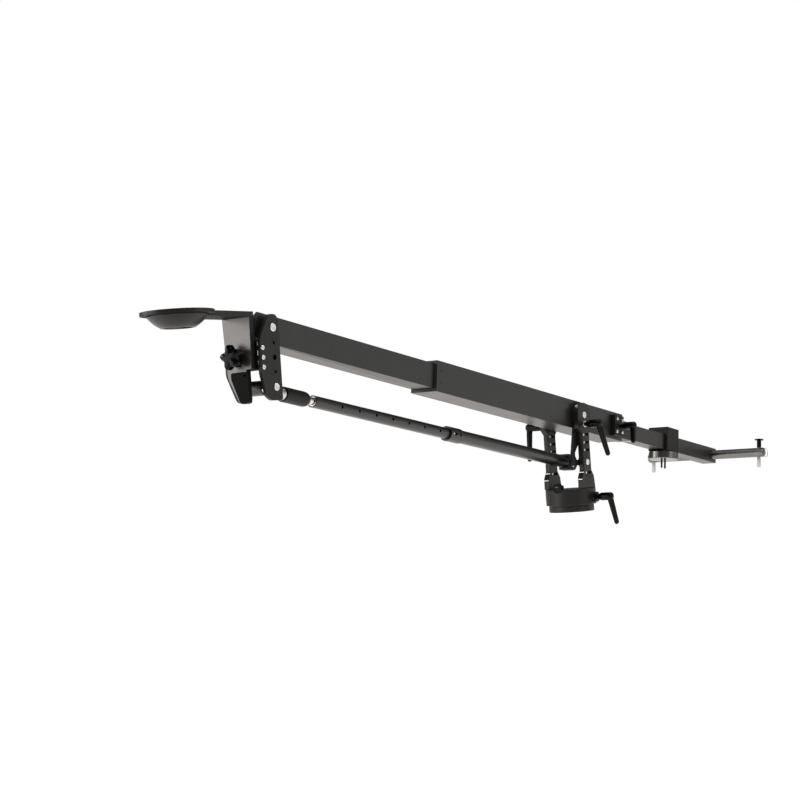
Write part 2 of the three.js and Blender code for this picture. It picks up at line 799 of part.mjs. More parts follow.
// Saddle round the rear tube, with a round puck and two pins below it
const saddleRear = saddleFront + saddleLength;
const saddleMiddle = (saddleFront + saddleRear) / 2;
const saddleBottom = -rearHalf - saddleFloor;
piece(arm, "saddle_block", cut(
  block(saddleFront, saddleRear, -saddleWidth / 2, saddleWidth / 2, saddleBottom, rearHalf + saddleRoof),
  block(saddleFront - overrun, saddleRear + overrun, -clampBore, clampBore, -clampBore, clampBore),
), blackPaint);
const puckTop = saddleBottom - gap;
const puckBottom = puckTop - puckThickness;
piece(arm, "saddle_puck", join(
  roundAlongZ(puckRadius, puckBottom, puckTop, saddleMiddle, 0, fineSides),
  ...[-puckPinSpread, puckPinSpread].map((x) => roundAlongZ(
    puckPinRadius, puckBottom - puckPinLength, puckBottom + overrun, saddleMiddle + x, 0, smallSides)),
), satinAluminium);

// Outer rod tube and its rear knuckle
const latchHole = roundAlongY(latchHeadRadius + gap, -collarRadius - overrun, 0, -latchAt, 0, smallSides);
piece(rod, "rod_tube_outer", cut(
  turnedAboutX([[rodBore, -rodFront], [rodRadius, -rodFront],
    [rodRadius, -knuckleFront - gap], [rodBore, -knuckleFront - gap]]), latchHole), blackAnodised);
piece(rod, "rod_rear_knuckle", cut(
  join(
    roundAlongY(knuckleRadius, -knuckleHalf, knuckleHalf, 0, 0),
    block(-knuckleFront, 0, -knuckleHalf, knuckleHalf, -knuckleRadius, knuckleRadius),
    roundAlongX(rodBore - gap, -knuckleFront - spigotLength, -knuckleFront + overrun, 0, 0)),
  pivotHole(rodBoltRadius, -knuckleHalf, knuckleHalf, 0, 0)), blackPaint);

// Locking collar over the front end of the outer rod tube, with a slot for the latch
const latchSlot = block(
  -latchSlotRear - latchSlotLength, -latchSlotRear, -collarRadius - overrun, -rodBore,
  -latchSlotHalf - gap, latchSlotHalf + gap);
piece(rod, "rod_collar", cut(
  turnedAboutX([
    [rodBore, -collarFront], [collarRadius, -collarFront], [collarRadius, -collarRear],
    [rodRadius + gap, -collarRear], [rodRadius + gap, -rodFront - gap], [rodBore, -rodFront - gap]]),
  latchSlot), blackAnodised);
piece(rod, "latch_button", mirrored(join(
  roundAlongY(latchPinRadius, rodBore, rodRadius + gap, -latchAt, 0, smallSides),
  roundAlongY(latchHeadRadius, rodRadius, collarRadius + latchHeadProud, -latchAt, 0, smallSides),
)), blackPlastic);

// Inner rod tube with its row of holes
const rodHoles = Array.from({ length: holeCount }, (_, k) => roundAlongY(
  holeRadius, -rodInnerRadius - overrun, 0, -holeFront + k * holePitch, 0, smallSides));
piece(rod, "rod_tube_inner", cut(
  turnedAboutX([[rodInnerBore, -rodInnerFront], [rodInnerRadius, -rodInnerFront],
    [rodInnerRadius, -rodInnerRear], [rodInnerBore, -rodInnerRear]]), ...rodHoles), blackAnodised);

// Sleeve at the front of the rod, rounded at its rear end
const sleeveEdge = Array.from({ length: cornerSteps + 1 }, (_, k) => {
  const turn = k / cornerSteps * Math.PI / 2;
  return [sleeveRadius - sleeveRound + sleeveRound * Math.cos(turn),
    -sleeveRear - sleeveRound + sleeveRound * Math.sin(turn)];
});
piece(rod, "rod_sleeve", turnedAboutX([
  [neckRadius + gap, -sleeveFront], [sleeveRadius, -sleeveFront],
  ...sleeveEdge, [neckRadius + gap, -sleeveRear]]), blackPaint);

// Front eye of the rod: one turned piece that runs back through the sleeve into the inner tube
const eyeBody = turnedAboutX([
  [0, -armSpan], [eyeShankRadius, -armSpan],
  [eyeShankRadius, -sleeveFront - gap - eyeCollarLength],
  [eyeCollarRadius, -sleeveFront - gap - eyeCollarLength], [eyeCollarRadius, -sleeveFront - gap],
  [neckRadius, -sleeveFront - gap], [neckRadius, -rodInnerFront],
  [rodInnerBore - gap, -rodInnerFront], [rodInnerBore - gap, -rodInnerFront + plugLength],
  [0, -rodInnerFront + plugLength]]);
piece(rod, "rod_front_eye", cut(
  join(eyeBody, roundAlongY(eyeRadius, -eyeHalf, eyeHalf, -armSpan, 0)),
  pivotHole(rodBoltRadius, -eyeHalf, eyeHalf, -armSpan, 0)), brightSteel);

// Head plates on either side of the fork and the rod eye; the near one has three more holes
const ties = Object.entries(tieDrops);
function tieHole(y0, y1, drop) {
  return roundAlongY(tieShankRadius + gap, y0 - overrun, y1 + overrun, -tieOut, -drop, smallSides);
}
function makeHeadPlate(toe, toeDrop, heel) {
  const shape = outline([
    [-plateCrownHalf, plateTop, plateRound], [plateCrownHalf, plateTop, plateRound],
    [plateBack, plateShoulder, plateRound], [plateBack, -plateBottom, plateRound],
    [-heel, -plateBottom, plateRound], [-toe, -toeDrop, plateRound],
    [-plateBelly, -plateBellyDrop, plateRound], [-plateNose, -plateNoseDrop, plateRound]]);
  return cut(
    slabAlongY(shape, plateHalfGap, plateOuter),
    pivotHole(armBoltRadius, plateHalfGap, plateOuter, 0, 0),
    pivotHole(rodBoltRadius, plateHalfGap, plateOuter, 0, -rodDrop),
    roundAlongY(
      hingePinRadius + gap, plateHalfGap - overrun, plateHalfGap + hingePinDepth + gap,
      -hingeOut, -hingeDrop),
    ...ties.map(([, drop]) => tieHole(plateHalfGap, plateOuter, drop)));
}
const sideHoles = [
  pivotHole(largeHoleRadius, -plateOuter, -plateHalfGap, 0, -largeHoleDrop),
  ...smallHoleDrops.map((drop) => pivotHole(smallHoleRadius, -plateOuter, -plateHalfGap, 0, -drop))];
piece(head, "head_plate_near", cut(
  mirrored(makeHeadPlate(plateToe, plateToeDrop, plateHeel)), ...sideHoles), blackAnodised);
piece(head, "head_plate_far", makeHeadPlate(farPlateToe, farPlateToeDrop, farPlateHeel), blackAnodised);

// Pivot bolts through the head plates
piece(head, "head_bolt", pivotBolt(armBoltRadius, plateOuter, plateOuter, 0, 0), brightSteel);
piece(head, "head_rod_bolt", pivotBolt(rodBoltRadius, plateOuter, plateOuter, 0, -rodDrop), brightSteel);
piece(head, "head_nut", pivotNut(armBoltRadius, plateOuter, 0, 0), brightSteel);
piece(head, "head_rod_nut", pivotNut(rodBoltRadius, plateOuter, 0, -rodDrop), brightSteel);

// Bright rings that keep the rod eye in the middle
const eyeRingInner = eyeHalf + gap;
const eyeRingFar = cut(
  join(
    roundAlongY(eyeRingRadius, eyeRingInner, eyeRingInner + eyeRingLength, 0, -rodDrop),
    roundAlongY(eyeSpacerRadius, eyeRingInner, plateHalfGap - gap, 0, -rodDrop)),
  pivotHole(rodBoltRadius, eyeRingInner, plateHalfGap, 0, -rodDrop));
piece(head, "eye_ring_near", mirrored(eyeRingFar), brightSteel);
piece(head, "eye_ring_far", eyeRingFar, brightSteel);

// Post block, bored for the knob's stud, with bosses out to the head plates
const postShape = outline([
  [-postBack, -postTop], [-postBack, -postBottom],
  [-postFront + postSlope, -postBottom], [-postFront, -postTop]]);
const bossOut = plateHalfGap - gap;
piece(head, "post_block", cut(
  join(
    slabAlongY(postShape, -postHalf, postHalf),
    ...ties.map(([, drop]) => roundAlongY(postBossRadius, -bossOut, bossOut, -tieOut, -drop))),
  roundAlongX(postBoreRadius, -bracketBack, -postBack + overrun, 0, -knobDrop),
  ...ties.map(([, drop]) => tieHole(-bossOut, bossOut, drop))), blackPaint);

// Tie screws with their heads on the near side; the upper and lower ones reach the far plate, and
// the middle one stops short of the knob's stud
ties.forEach(([place, drop]) => {
  const headOut = plateOuter + gap + tieHeadHeight;
  const tip = place === "middle" ? -postHalf / 2 : headOut;
  const shank = roundAlongY(tieShankRadius, -headOut + tieHeadHeight / 2, tip, -tieOut, -drop, smallSides);
  const tieHead = roundAlongY(tieHeadRadius, -headOut, -plateOuter - gap, -tieOut, -drop);
  piece(head, `post_tie_${place}`, join(shank, tieHead), brightSteel);
});

// Bracket plate, with two lugs on the hinge pin
function makeBracketPlate() {
  const shape = outline([
    [-platformHalf, platformFoot - gap], [-stepNear, -stepDrop, lobeRound / 2],
    [-lobeNear, -stepDrop], [-lobeNear, -lobeDrop, lobeRound], [lobeFar, -lobeDrop, lobeRound],
    [waistHalf, -waistDrop, lobeRound], [platformHalf, platformFoot - gap]]);
  const lugInner = platformHalf - hingeLugThickness;
  const lug = join(
    roundAlongY(hingeLugRadius, lugInner, platformHalf, -hingeOut, -hingeDrop),
    block(-bracketBack - overrun, -hingeOut, lugInner, platformHalf - gap,
      -hingeDrop - hingeLugRadius, -hingeDrop + hingeLugRadius));
  return cut(
    join(slabAlongX(shape, -bracketFront, -bracketBack), bothSides(lug)),
    pivotHole(hingePinRadius, -platformHalf, platformHalf, -hingeOut, -hingeDrop),
    roundAlongX(knobStudRadius + gap, -bracketFront - overrun, -bracketBack + overrun, 0, -knobDrop));
}
piece(head, "bracket_plate", makeBracketPlate(), blackAnodised);
const hingePinEnd = plateHalfGap + hingePinDepth;
piece(head, "bracket_hinge_pin", roundAlongY(
  hingePinRadius, -hingePinEnd, hingePinEnd, -hingeOut, -hingeDrop), brightSteel);

// Pad on the bracket plate's lower front
const padShape = outline([
  [-padNear, -padTop, padRound], [-padNear, -padFoot, padCornerRound], [-padToe, -padFoot, padRound],
  [padFar, -padBendDrop, padRound], [padFar, -padTop, padRound]]);
piece(head, "bracket_pad", cut(
  slabAlongX(padShape, -bracketFront - gap - padThickness, -bracketFront - gap),
  roundAlongX(padHoleRadius, -bracketFront - padThickness - overrun, -bracketFront + overrun,
    -padHoleNear, -padHoleDrop, smallSides)), blackPaint);

// Platform: an arm from the bracket plate to a thinner ring round the bowl
const platformArm = block(-bowlOut, -bracketBack, -platformHalf, platformHalf, platformFoot, platformTop);
const ringFoot = platformTop - ringThickness;
const platformRing = roundAlongZ(ringRadius, ringFoot, platformTop, -bowlOut, 0, bowlSides);
const flangeSeat = platformTop - bowlFlangeThickness - gap;
piece(head, "bracket_platform", cut(
  join(platformArm, platformRing),
  roundAlongZ(bowlRadius + gap, platformFoot - overrun, platformTop + overrun, -bowlOut, 0, bowlSides),
  roundAlongZ(bowlFlangeRadius + gap, flangeSeat, platformTop + overrun, -bowlOut, 0, bowlSides),
), blackAnodised);

// Bowl: outside and inside follow arcs, and it is open at the bottom
function arcProfile(radius, centreUp, lowUp, highUp) {
  return Array.from({ length: bowlSteps + 1 }, (_, k) => {
    const up = lowUp + (highUp - lowUp) * k / bowlSteps;
    return [Math.sqrt(radius ** 2 - (centreUp - up) ** 2), up];
  });
}
const bowlFoot = platformTop - bowlDrop;
const outerCentre = bowlFoot + Math.sqrt(bowlCurveRadius ** 2 - bowlFootRadius ** 2);
const outerShoulder = outerCentre - Math.sqrt(bowlCurveRadius ** 2 - bowlRadius ** 2);
const ballCentre = platformTop + Math.sqrt(ballRadius ** 2 - ballMouthRadius ** 2);
piece(head, "bowl_insert", turnedAboutZ([
  ...arcProfile(bowlCurveRadius, outerCentre, bowlFoot, outerShoulder),
  [bowlRadius, flangeSeat + gap], [bowlFlangeRadius, flangeSeat + gap], [bowlFlangeRadius, platformTop],
  ...arcProfile(ballRadius, ballCentre, bowlFoot, platformTop).reverse(),
], bowlSides).translate(-bowlOut, 0, 0), blackAnodised);

// Five-lobed knob, with a boss and a stud into the post block
function makeStarKnob() {
  const lobes = Array.from({ length: knobLobes }, (_, k) => {
    const turn = THREE.MathUtils.degToRad(knobTurnDegrees) + k / knobLobes * 2 * Math.PI;
    const lobe = join(
      roundAlongX(knobLobeRadius, -knobThickness, 0, 0, knobLobeOut),
      block(-knobThickness, 0, -knobLobeRadius, knobLobeRadius, 0, knobLobeOut));
    return lobe.rotateX(turn);
  });
  return join(
    ...lobes,
    roundAlongX(knobCoreRadius, -knobThickness, 0, 0, 0),
    roundAlongX(knobBossRadius, -overrun, knobStandoff - gap, 0, 0),
    roundAlongX(
      knobStudRadius, -overrun, knobStandoff + bracketThickness + knobStudDepth, 0, 0, smallSides));
}
piece(head, "star_knob", makeStarKnob().translate(-knobBack, 0, -knobDrop), blackPlastic);

export default crane;
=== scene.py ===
from math import atan2, cos, pi, radians, sin, sqrt, tau

import bmesh
import bpy
from mathutils import Matrix, Vector


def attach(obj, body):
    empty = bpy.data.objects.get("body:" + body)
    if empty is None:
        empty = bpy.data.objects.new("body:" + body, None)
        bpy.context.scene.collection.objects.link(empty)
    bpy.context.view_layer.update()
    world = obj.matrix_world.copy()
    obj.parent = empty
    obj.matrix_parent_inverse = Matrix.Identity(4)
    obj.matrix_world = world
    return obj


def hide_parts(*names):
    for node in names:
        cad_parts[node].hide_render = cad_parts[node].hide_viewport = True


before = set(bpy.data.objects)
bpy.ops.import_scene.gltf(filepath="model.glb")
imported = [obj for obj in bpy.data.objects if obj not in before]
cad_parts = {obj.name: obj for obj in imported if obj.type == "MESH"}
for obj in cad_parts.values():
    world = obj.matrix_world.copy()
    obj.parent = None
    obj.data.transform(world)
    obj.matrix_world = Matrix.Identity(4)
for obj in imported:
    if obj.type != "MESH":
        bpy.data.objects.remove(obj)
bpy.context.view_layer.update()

# Camera: a long lens a little above the base, in front of the crane and on its near side,
# looking almost level along the arm, and rolled by a few degrees.
camera_place = Vector((-3.2067, -1.9457, 0.1685))
camera_yaw = 0.9318
camera_pitch = 0.0251
camera_roll = 0.0669
camera_ahead = Vector((
    sin(camera_yaw) * cos(camera_pitch), cos(camera_yaw) * cos(camera_pitch), sin(camera_pitch)))
camera_side = Vector((cos(camera_yaw), -sin(camera_yaw), 0))
camera_rise = camera_side.cross(camera_ahead)
camera_right = cos(camera_roll) * camera_side - sin(camera_roll) * camera_rise
camera_up = sin(camera_roll) * camera_side + cos(camera_roll) * camera_rise
camera_turn = Matrix((camera_right, camera_up, -camera_ahead)).transposed()
camera = bpy.data.objects.new("camera", bpy.data.cameras.new("camera"))
camera.data.lens = 78.54
camera.data.sensor_width = 36
camera.data.clip_end = 60
camera.matrix_world = Matrix.Translation(camera_place) @ camera_turn.to_4x4()
bpy.context.scene.collection.objects.link(camera)
bpy.context.scene.camera = camera
bpy.context.scene.view_settings.view_transform = "Standard"

# Studio: a white sweep that only the lens and the shiny surfaces see as white, over an even grey
# light, with large soft lamps above, on the near side, to the right and far round the front, and a
# smaller one on the far side for the glints.
world = bpy.data.worlds.new("studio_air")
world.use_nodes = True
bpy.context.scene.world = world
air = world.node_tree
air_light = air.nodes["Background"]
air_light.inputs["Color"].default_value = (0.22, 0.22, 0.221, 1)
air_white = air.nodes.new("ShaderNodeBackground")
air_white.inputs["Color"].default_value = (1, 1, 1, 1)
air_rays = air.nodes.new("ShaderNodeLightPath")
air_pick = air.nodes.new("ShaderNodeMixShader")
air.links.new(air_rays.outputs["Is Camera Ray"], air_pick.inputs["Fac"])
air.links.new(air_light.outputs["Background"], air_pick.inputs[1])
air.links.new(air_white.outputs["Background"], air_pick.inputs[2])
air.links.new(air_pick.outputs["Shader"], air.nodes["World Output"].inputs["Surface"])

floor_height = -0.62
floor_reach = 14
floor_mesh = bmesh.new()
bmesh.ops.create_grid(floor_mesh, x_segments=1, y_segments=1, size=floor_reach)
bmesh.ops.translate(floor_mesh, verts=floor_mesh.verts, vec=(0, 0, floor_height))
floor_data = bpy.data.meshes.new("studio_floor")
floor_mesh.to_mesh(floor_data)
floor_mesh.free()
studio_floor = bpy.data.objects.new("studio_floor", floor_data)
bpy.context.scene.collection.objects.link(studio_floor)
floor_paint = bpy.data.materials.new("white_sweep")
floor_paint.use_nodes = True
sweep = floor_paint.node_tree
sweep_paint = sweep.nodes["Principled BSDF"]
sweep_paint.inputs["Base Color"].default_value = (0.84, 0.84, 0.835, 1)
sweep_paint.inputs["Roughness"].default_value = 0.9
sweep_glow = sweep.nodes.new("ShaderNodeEmission")
sweep_glow.inputs["Color"].default_value = (1, 0.94, 0.90, 1)
sweep_glow.inputs["Strength"].default_value = 0.95
sweep_rays = sweep.nodes.new("ShaderNodeLightPath")
sweep_seen = sweep.nodes.new("ShaderNodeMath")
sweep_seen.operation = "MAXIMUM"
sweep_pick = sweep.nodes.new("ShaderNodeMixShader")
sweep_sum = sweep.nodes.new("ShaderNodeAddShader")
sweep.links.new(sweep_rays.outputs["Is Camera Ray"], sweep_seen.inputs[0])
sweep.links.new(sweep_rays.outputs["Is Glossy Ray"], sweep_seen.inputs[1])
sweep.links.new(sweep_seen.outputs["Value"], sweep_pick.inputs["Fac"])
sweep.links.new(sweep_paint.outputs["BSDF"], sweep_sum.inputs[0])
sweep.links.new(sweep_glow.outputs["Emission"], sweep_sum.inputs[1])
sweep.links.new(sweep_paint.outputs["BSDF"], sweep_pick.inputs[1])
sweep.links.new(sweep_sum.outputs["Shader"], sweep_pick.inputs[2])
sweep.links.new(sweep_pick.outputs["Shader"], sweep.nodes["Material Output"].inputs["Surface"])
floor_data.materials.append(floor_paint)


def soft_lamp(name, place, aim, size, power):
    lamp = bpy.data.objects.new(name, bpy.data.lights.new(name, "AREA"))
    lamp.data.shape = "SQUARE"
    lamp.data.size = size
    lamp.data.energy = power
    lamp.location = place
    lamp.rotation_euler = (Vector(aim) - Vector(place)).to_track_quat("-Z", "Y").to_euler()
    bpy.context.scene.collection.objects.link(lamp)


soft_lamp("lamp_above", (-0.4, -0.3, 2.6), (-0.3, 0, 0.2), 2.4, 44)
soft_lamp("lamp_near", (0.6, -3.2, 1.2), (-0.2, 0, 0.2), 1.8, 20)
soft_lamp("lamp_right", (2.1, -2.0, 0.45), (-0.3, 0, 0.25), 1.8, 4.5)
soft_lamp("lamp_front", (-3.3, 2.2, 0.55), (-0.7, 0, 0.3), 2.2, 34)
soft_lamp("lamp_far", (-2.0, 2.9, 1.3), (-1.0, 0, 0.3), 0.9, 26)

# Base ring: a turned aluminium disc that the whole crane stands on, anodised black. A chamfer
# runs round its foot, a fine groove under its upper edge, and the spindle's flange lies in its
# counterbore.


def grained(name, dark, light, metallic, rough, grain, stretch=(1, 1, 1), relief=0.05, shine=0.5):
    """A finish with fine grain in its colour, gloss and relief. grain is the grain's size."""
    speck_share = 0.6
    cloud_scale = 22
    relief_height = 0.0005
    low_tone, high_tone = 0.34, 0.66
    low_gloss, high_gloss = 0.3, 0.7
    surface = bpy.data.materials.new(name)
    surface.use_nodes = True
    nodes = surface.node_tree.nodes
    links = surface.node_tree.links
    shader = nodes["Principled BSDF"]
    shader.inputs["Metallic"].default_value = metallic
    shader.inputs["Specular IOR Level"].default_value = shine
    place = nodes.new("ShaderNodeTexCoord")
    mapping = nodes.new("ShaderNodeMapping")
    mapping.inputs["Scale"].default_value = stretch
    links.new(place.outputs["Object"], mapping.inputs["Vector"])
    cloud = nodes.new("ShaderNodeTexNoise")
    cloud.inputs["Scale"].default_value = cloud_scale
    cloud.inputs["Detail"].default_value = 3
    links.new(place.outputs["Object"], cloud.inputs["Vector"])
    speck = nodes.new("ShaderNodeTexNoise")
    speck.inputs["Scale"].default_value = 1 / grain
    speck.inputs["Detail"].default_value = 2
    links.new(mapping.outputs["Vector"], speck.inputs["Vector"])
    blend = nodes.new("ShaderNodeMath")
    blend.operation = "MULTIPLY_ADD"
    blend.inputs[1].default_value = speck_share
    links.new(speck.outputs["Fac"], blend.inputs[0])
    share = nodes.new("ShaderNodeMath")
    share.operation = "MULTIPLY"
    share.inputs[1].default_value = 1 - speck_share
    links.new(cloud.outputs["Fac"], share.inputs[0])
    links.new(share.outputs["Value"], blend.inputs[2])
    tone = nodes.new("ShaderNodeValToRGB")
    tone.color_ramp.elements[0].position = low_tone
    tone.color_ramp.elements[0].color = (*dark, 1)
    tone.color_ramp.elements[1].position = high_tone
    tone.color_ramp.elements[1].color = (*light, 1)
    links.new(blend.outputs["Value"], tone.inputs["Fac"])
    links.new(tone.outputs["Color"], shader.inputs["Base Color"])
    gloss = nodes.new("ShaderNodeMapRange")
    gloss.inputs["From Min"].default_value = low_gloss
    gloss.inputs["From Max"].default_value = high_gloss
    gloss.inputs["To Min"].default_value = rough[0]
    gloss.inputs["To Max"].default_value = rough[1]
    links.new(blend.outputs["Value"], gloss.inputs["Value"])
    links.new(gloss.outputs["Result"], shader.inputs["Roughness"])
    bump = nodes.new("ShaderNodeBump")
    bump.inputs["Strength"].default_value = relief
    bump.inputs["Distance"].default_value = relief_height
    links.new(speck.outputs["Fac"], bump.inputs["Height"])
    links.new(bump.outputs["Normal"], shader.inputs["Normal"])
    return surface


weld = 1e-6


def turned(profile, steps=72):
    """A closed profile of (radius, height) pairs, spun round the Z axis."""
    mesh = bmesh.new()
    points = [mesh.verts.new((radius, 0, height)) for radius, height in profile]
    edges = []
    for start, end in zip(points, points[1:] + points[:1]):
        if start.co.x > 0 or end.co.x > 0:
            edges.append(mesh.edges.new((start, end)))
    bmesh.ops.spin(
        mesh, geom=points + edges, cent=(0, 0, 0), axis=(0, 0, 1), dvec=(0, 0, 0), angle=tau,
        steps=steps, use_merge=True)
    bmesh.ops.remove_doubles(mesh, verts=mesh.verts, dist=weld)
    bmesh.ops.recalc_face_normals(mesh, faces=mesh.faces)
    return mesh


def make_piece(name, mesh, surface, body, stands_for=(), seat=None, soften=0.0004):
    """Turns a bmesh into a piece with softened edges that rides on a body."""
    sharp_angle = radians(32)
    if seat is not None:
        bmesh.ops.transform(mesh, matrix=seat, verts=mesh.verts)
    if not isinstance(surface, (list, tuple)):
        surface = [surface]
    data = bpy.data.meshes.new(name)
    mesh.to_mesh(data)
    mesh.free()
    for layer in surface:
        data.materials.append(layer)
    for face in data.polygons:
        face.use_smooth = True
    data.set_sharp_from_angle(angle=sharp_angle)
    piece = bpy.data.objects.new(name, data)
    bpy.context.scene.collection.objects.link(piece)
    if soften > 0:
        edge = piece.modifiers.new("soft_edges", "BEVEL")
        edge.width = soften
        edge.segments = 2
        edge.limit_method = "ANGLE"
        edge.angle_limit = sharp_angle
        edge.use_clamp_overlap = True
        edge.harden_normals = True
    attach(piece, body)
    if stands_for:
        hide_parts(*stands_for)
    return piece


black_anodised = grained(
    "black_anodised", dark=(0.0085, 0.0080, 0.0073), light=(0.0160, 0.0151, 0.0138), metallic=0,
    rough=(0.34, 0.44), grain=0.0006, relief=0.05, shine=0.3)
base_radius = 0.048
base_rise = 0.0145
seat_radius = 0.030
seat_rise = 0.018
counterbore_radius = 0.0203
counterbore_rise = 0.0043
spindle_bore = 0.0123
base_groove = 0.0006
groove_low = base_rise - 4 * base_groove
groove_high = base_rise - 2 * base_groove
make_piece("base_disc", turned([
    (spindle_bore, counterbore_rise), (counterbore_radius, counterbore_rise),
    (counterbore_radius, 0), (base_radius - 2 * base_groove, 0), (base_radius, 2 * base_groove),
    (base_radius, groove_low), (base_radius - base_groove, groove_low),
    (base_radius - base_groove, groove_high), (base_radius, groove_high),
    (base_radius, base_rise), (seat_radius, base_rise), (seat_radius, seat_rise),
    (spindle_bore, seat_rise)], steps=96), black_anodised, "base", ["base_ring"],
    soften=0.0003)

# Spindle, bearing and nut: bright turned steel inside the housing. From below, the spindle shows
# the blind hole that a mounting screw goes into. The sleeve round the tilt bolt and the
# bracket's hinge pin have the same finish.
bright_steel = grained(
    "bright_steel", dark=(0.74, 0.735, 0.72), light=(0.84, 0.835, 0.82), metallic=1,
    rough=(0.24, 0.34), grain=0.0008, stretch=(1, 1, 6), relief=0.015)
for carried in ("pan_spindle", "pan_bearing", "spindle_nut", "pivot_sleeve", "bracket_hinge_pin"):
    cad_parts[carried].data.materials.clear()
    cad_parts[carried].data.materials.append(bright_steel)

# Turning housing: a turned cap over the bearing, anodised black, with chamfered edges and a round
# boss on its near side for the pan lever.
housing_radius = 0.0535
housing_foot = 0.0148
housing_top = 0.049
housing_inside = 0.043
bearing_room = 0.0223
seat_room = 0.0304
seat_room_top = 0.0184
housing_chamfer = 0.0007
make_piece("housing_cap", turned([
    (0, housing_top), (0, housing_inside), (bearing_room, housing_inside),
    (bearing_room, seat_room_top), (seat_room, seat_room_top), (seat_room, housing_foot),
    (housing_radius - housing_chamfer, housing_foot),
    (housing_radius, housing_foot + housing_chamfer),
    (housing_radius, housing_top - housing_chamfer),
    (housing_radius - housing_chamfer, housing_top)], steps=96),
    black_anodised, "pan_head", ["pan_housing"], soften=0.0003)


def facing(place, direction):
    """Puts something made along +Z at a place, pointing in a direction."""
    turn = Vector(direction).to_track_quat("Z", "Y").to_matrix().to_4x4()
    return Matrix.Translation(Vector(place)) @ turn


near = Vector((0, -1, 0))
far = Vector((0, 1, 0))
pan_lever_x = 0.008
pan_lever_height = 0.029
pan_boss_root = -0.0425
pan_boss_radius = 0.011
pan_boss_length = 0.0145
pan_boss_edge = 0.0006
stud_hole_radius = 0.0033
stud_hole_floor = 0.006
make_piece("pan_boss", turned([
    (stud_hole_radius, stud_hole_floor), (stud_hole_radius, pan_boss_length),
    (pan_boss_radius - pan_boss_edge, pan_boss_length),
    (pan_boss_radius, pan_boss_length - pan_boss_edge), (pan_boss_radius, 0), (0, 0),
    (0, stud_hole_floor)], steps=48),
    black_anodised, "pan_head",
    seat=facing((pan_lever_x, pan_boss_root, pan_lever_height), near), soften=0.0002)

# Spirit level: a black bezel screwed into the housing's front rim, with a short dark vial in the
# upper half of its face, backed by a small post.
level_face = -0.055
level_height = 0.052
level_radius = 0.011
level_depth = 0.008
level_edge = 0.0008
level_rim = 0.003
level_slope = 0.0004
level_dish = 0.0006
level_seat = facing((level_face + level_depth, 0, level_height), (-1, 0, 0))
level_black = grained(
    "level_black", dark=(0.004, 0.004, 0.0038), light=(0.008, 0.008, 0.0076), metallic=0,
    rough=(0.40, 0.50), grain=0.0008, shine=0.1)
make_piece("level_bezel", turned([
    (0, 0), (level_radius, 0), (level_radius, level_depth - level_edge),
    (level_radius - level_edge, level_depth), (level_radius - level_rim, level_depth),
    (level_radius - level_rim - level_slope, level_depth - level_dish),
    (0, level_depth - level_dish)], steps=48),
    level_black, "pan_head", ["level_vial"], seat=level_seat, soften=0.0002)
vial_glass = bpy.data.materials.new("vial_liquid")
vial_glass.use_nodes = True
vial_shader = vial_glass.node_tree.nodes["Principled BSDF"]
vial_shader.inputs["Base Color"].default_value = (0.012, 0.014, 0.009, 1)
vial_shader.inputs["Roughness"].default_value = 0.08
vial_shader.inputs["Coat Weight"].default_value = 0.6
vial_radius = 0.0017
vial_end_radius = vial_radius * 0.7
vial_half = 0.0042
vial_edge = 0.0006
vial_sunk = 0.0004
vial_rise = 0.0032
make_piece("level_tube", turned([
    (0, -vial_half), (vial_end_radius, -vial_half), (vial_radius, -vial_half + vial_edge),
    (vial_radius, vial_half - vial_edge), (vial_end_radius, vial_half), (0, vial_half)], steps=24),
    vial_glass, "pan_head",
    seat=facing((level_face + vial_sunk, 0, level_height + vial_rise), far), soften=0)


def copy_of(node):
    """A node's mesh with its triangles joined into whole faces."""
    mesh = bmesh.new()
    mesh.from_mesh(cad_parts[node].data)
    bmesh.ops.remove_doubles(mesh, verts=mesh.verts, dist=2 * weld)
    bmesh.ops.dissolve_limit(
        mesh, angle_limit=radians(1), use_dissolve_boundaries=False, verts=mesh.verts,
        edges=mesh.edges, delimit={"NORMAL"})
    return mesh


powder_black = grained(
    "powder_black", dark=(0.0070, 0.0067, 0.0063), light=(0.0125, 0.0120, 0.0112), metallic=0,
    rough=(0.40, 0.52), grain=0.0011, relief=0.14, shine=0.2)
make_piece("level_post", copy_of("level_bracket"), powder_black, "pan_head",
    ["level_bracket"], soften=0.0006)

# Uprights: two sawn and milled aluminium plates on the housing, anodised black. Each has a round
# head, a column with slots across both faces, and a wide foot with a notch in its front edge.
for side in ("near", "far"):
    make_piece(f"upright_{side}_plate", copy_of(f"upright_{side}"), black_anodised,
        "pan_head", [f"upright_{side}"], soften=0.0006)


def together(mesh, *others):
    """Adds other bmeshes to the first one."""
    for other in others:
        extra = bpy.data.meshes.new("extra")
        other.to_mesh(extra)
        other.free()
        mesh.from_mesh(extra)
        bpy.data.meshes.remove(extra)
    return mesh


def plain_bar(low, high):
    """A straight bar between two corners."""
    mesh = bmesh.new()
    bmesh.ops.create_cube(mesh, size=1)
    bmesh.ops.scale(mesh, vec=Vector(high) - Vector(low), verts=mesh.verts)
    bmesh.ops.translate(mesh, vec=(Vector(high) + Vector(low)) / 2, verts=mesh.verts)
    return mesh


def hexagonal(mesh, socket):
    """Draws the round wall of a screw's socket in to a hexagon."""
    tolerance = 1e-5
    for vert in mesh.verts:
        across = Vector((vert.co.x, vert.co.y))
        if vert.co.z > 0 and abs(across.length - socket) < tolerance:
            turn = Vector((1, 0)).angle_signed(across, 0)
            shrink = cos(pi / 6) / cos((turn % (pi / 3)) - pi / 6)
            vert.co.x *= shrink
            vert.co.y *= shrink
    return mesh


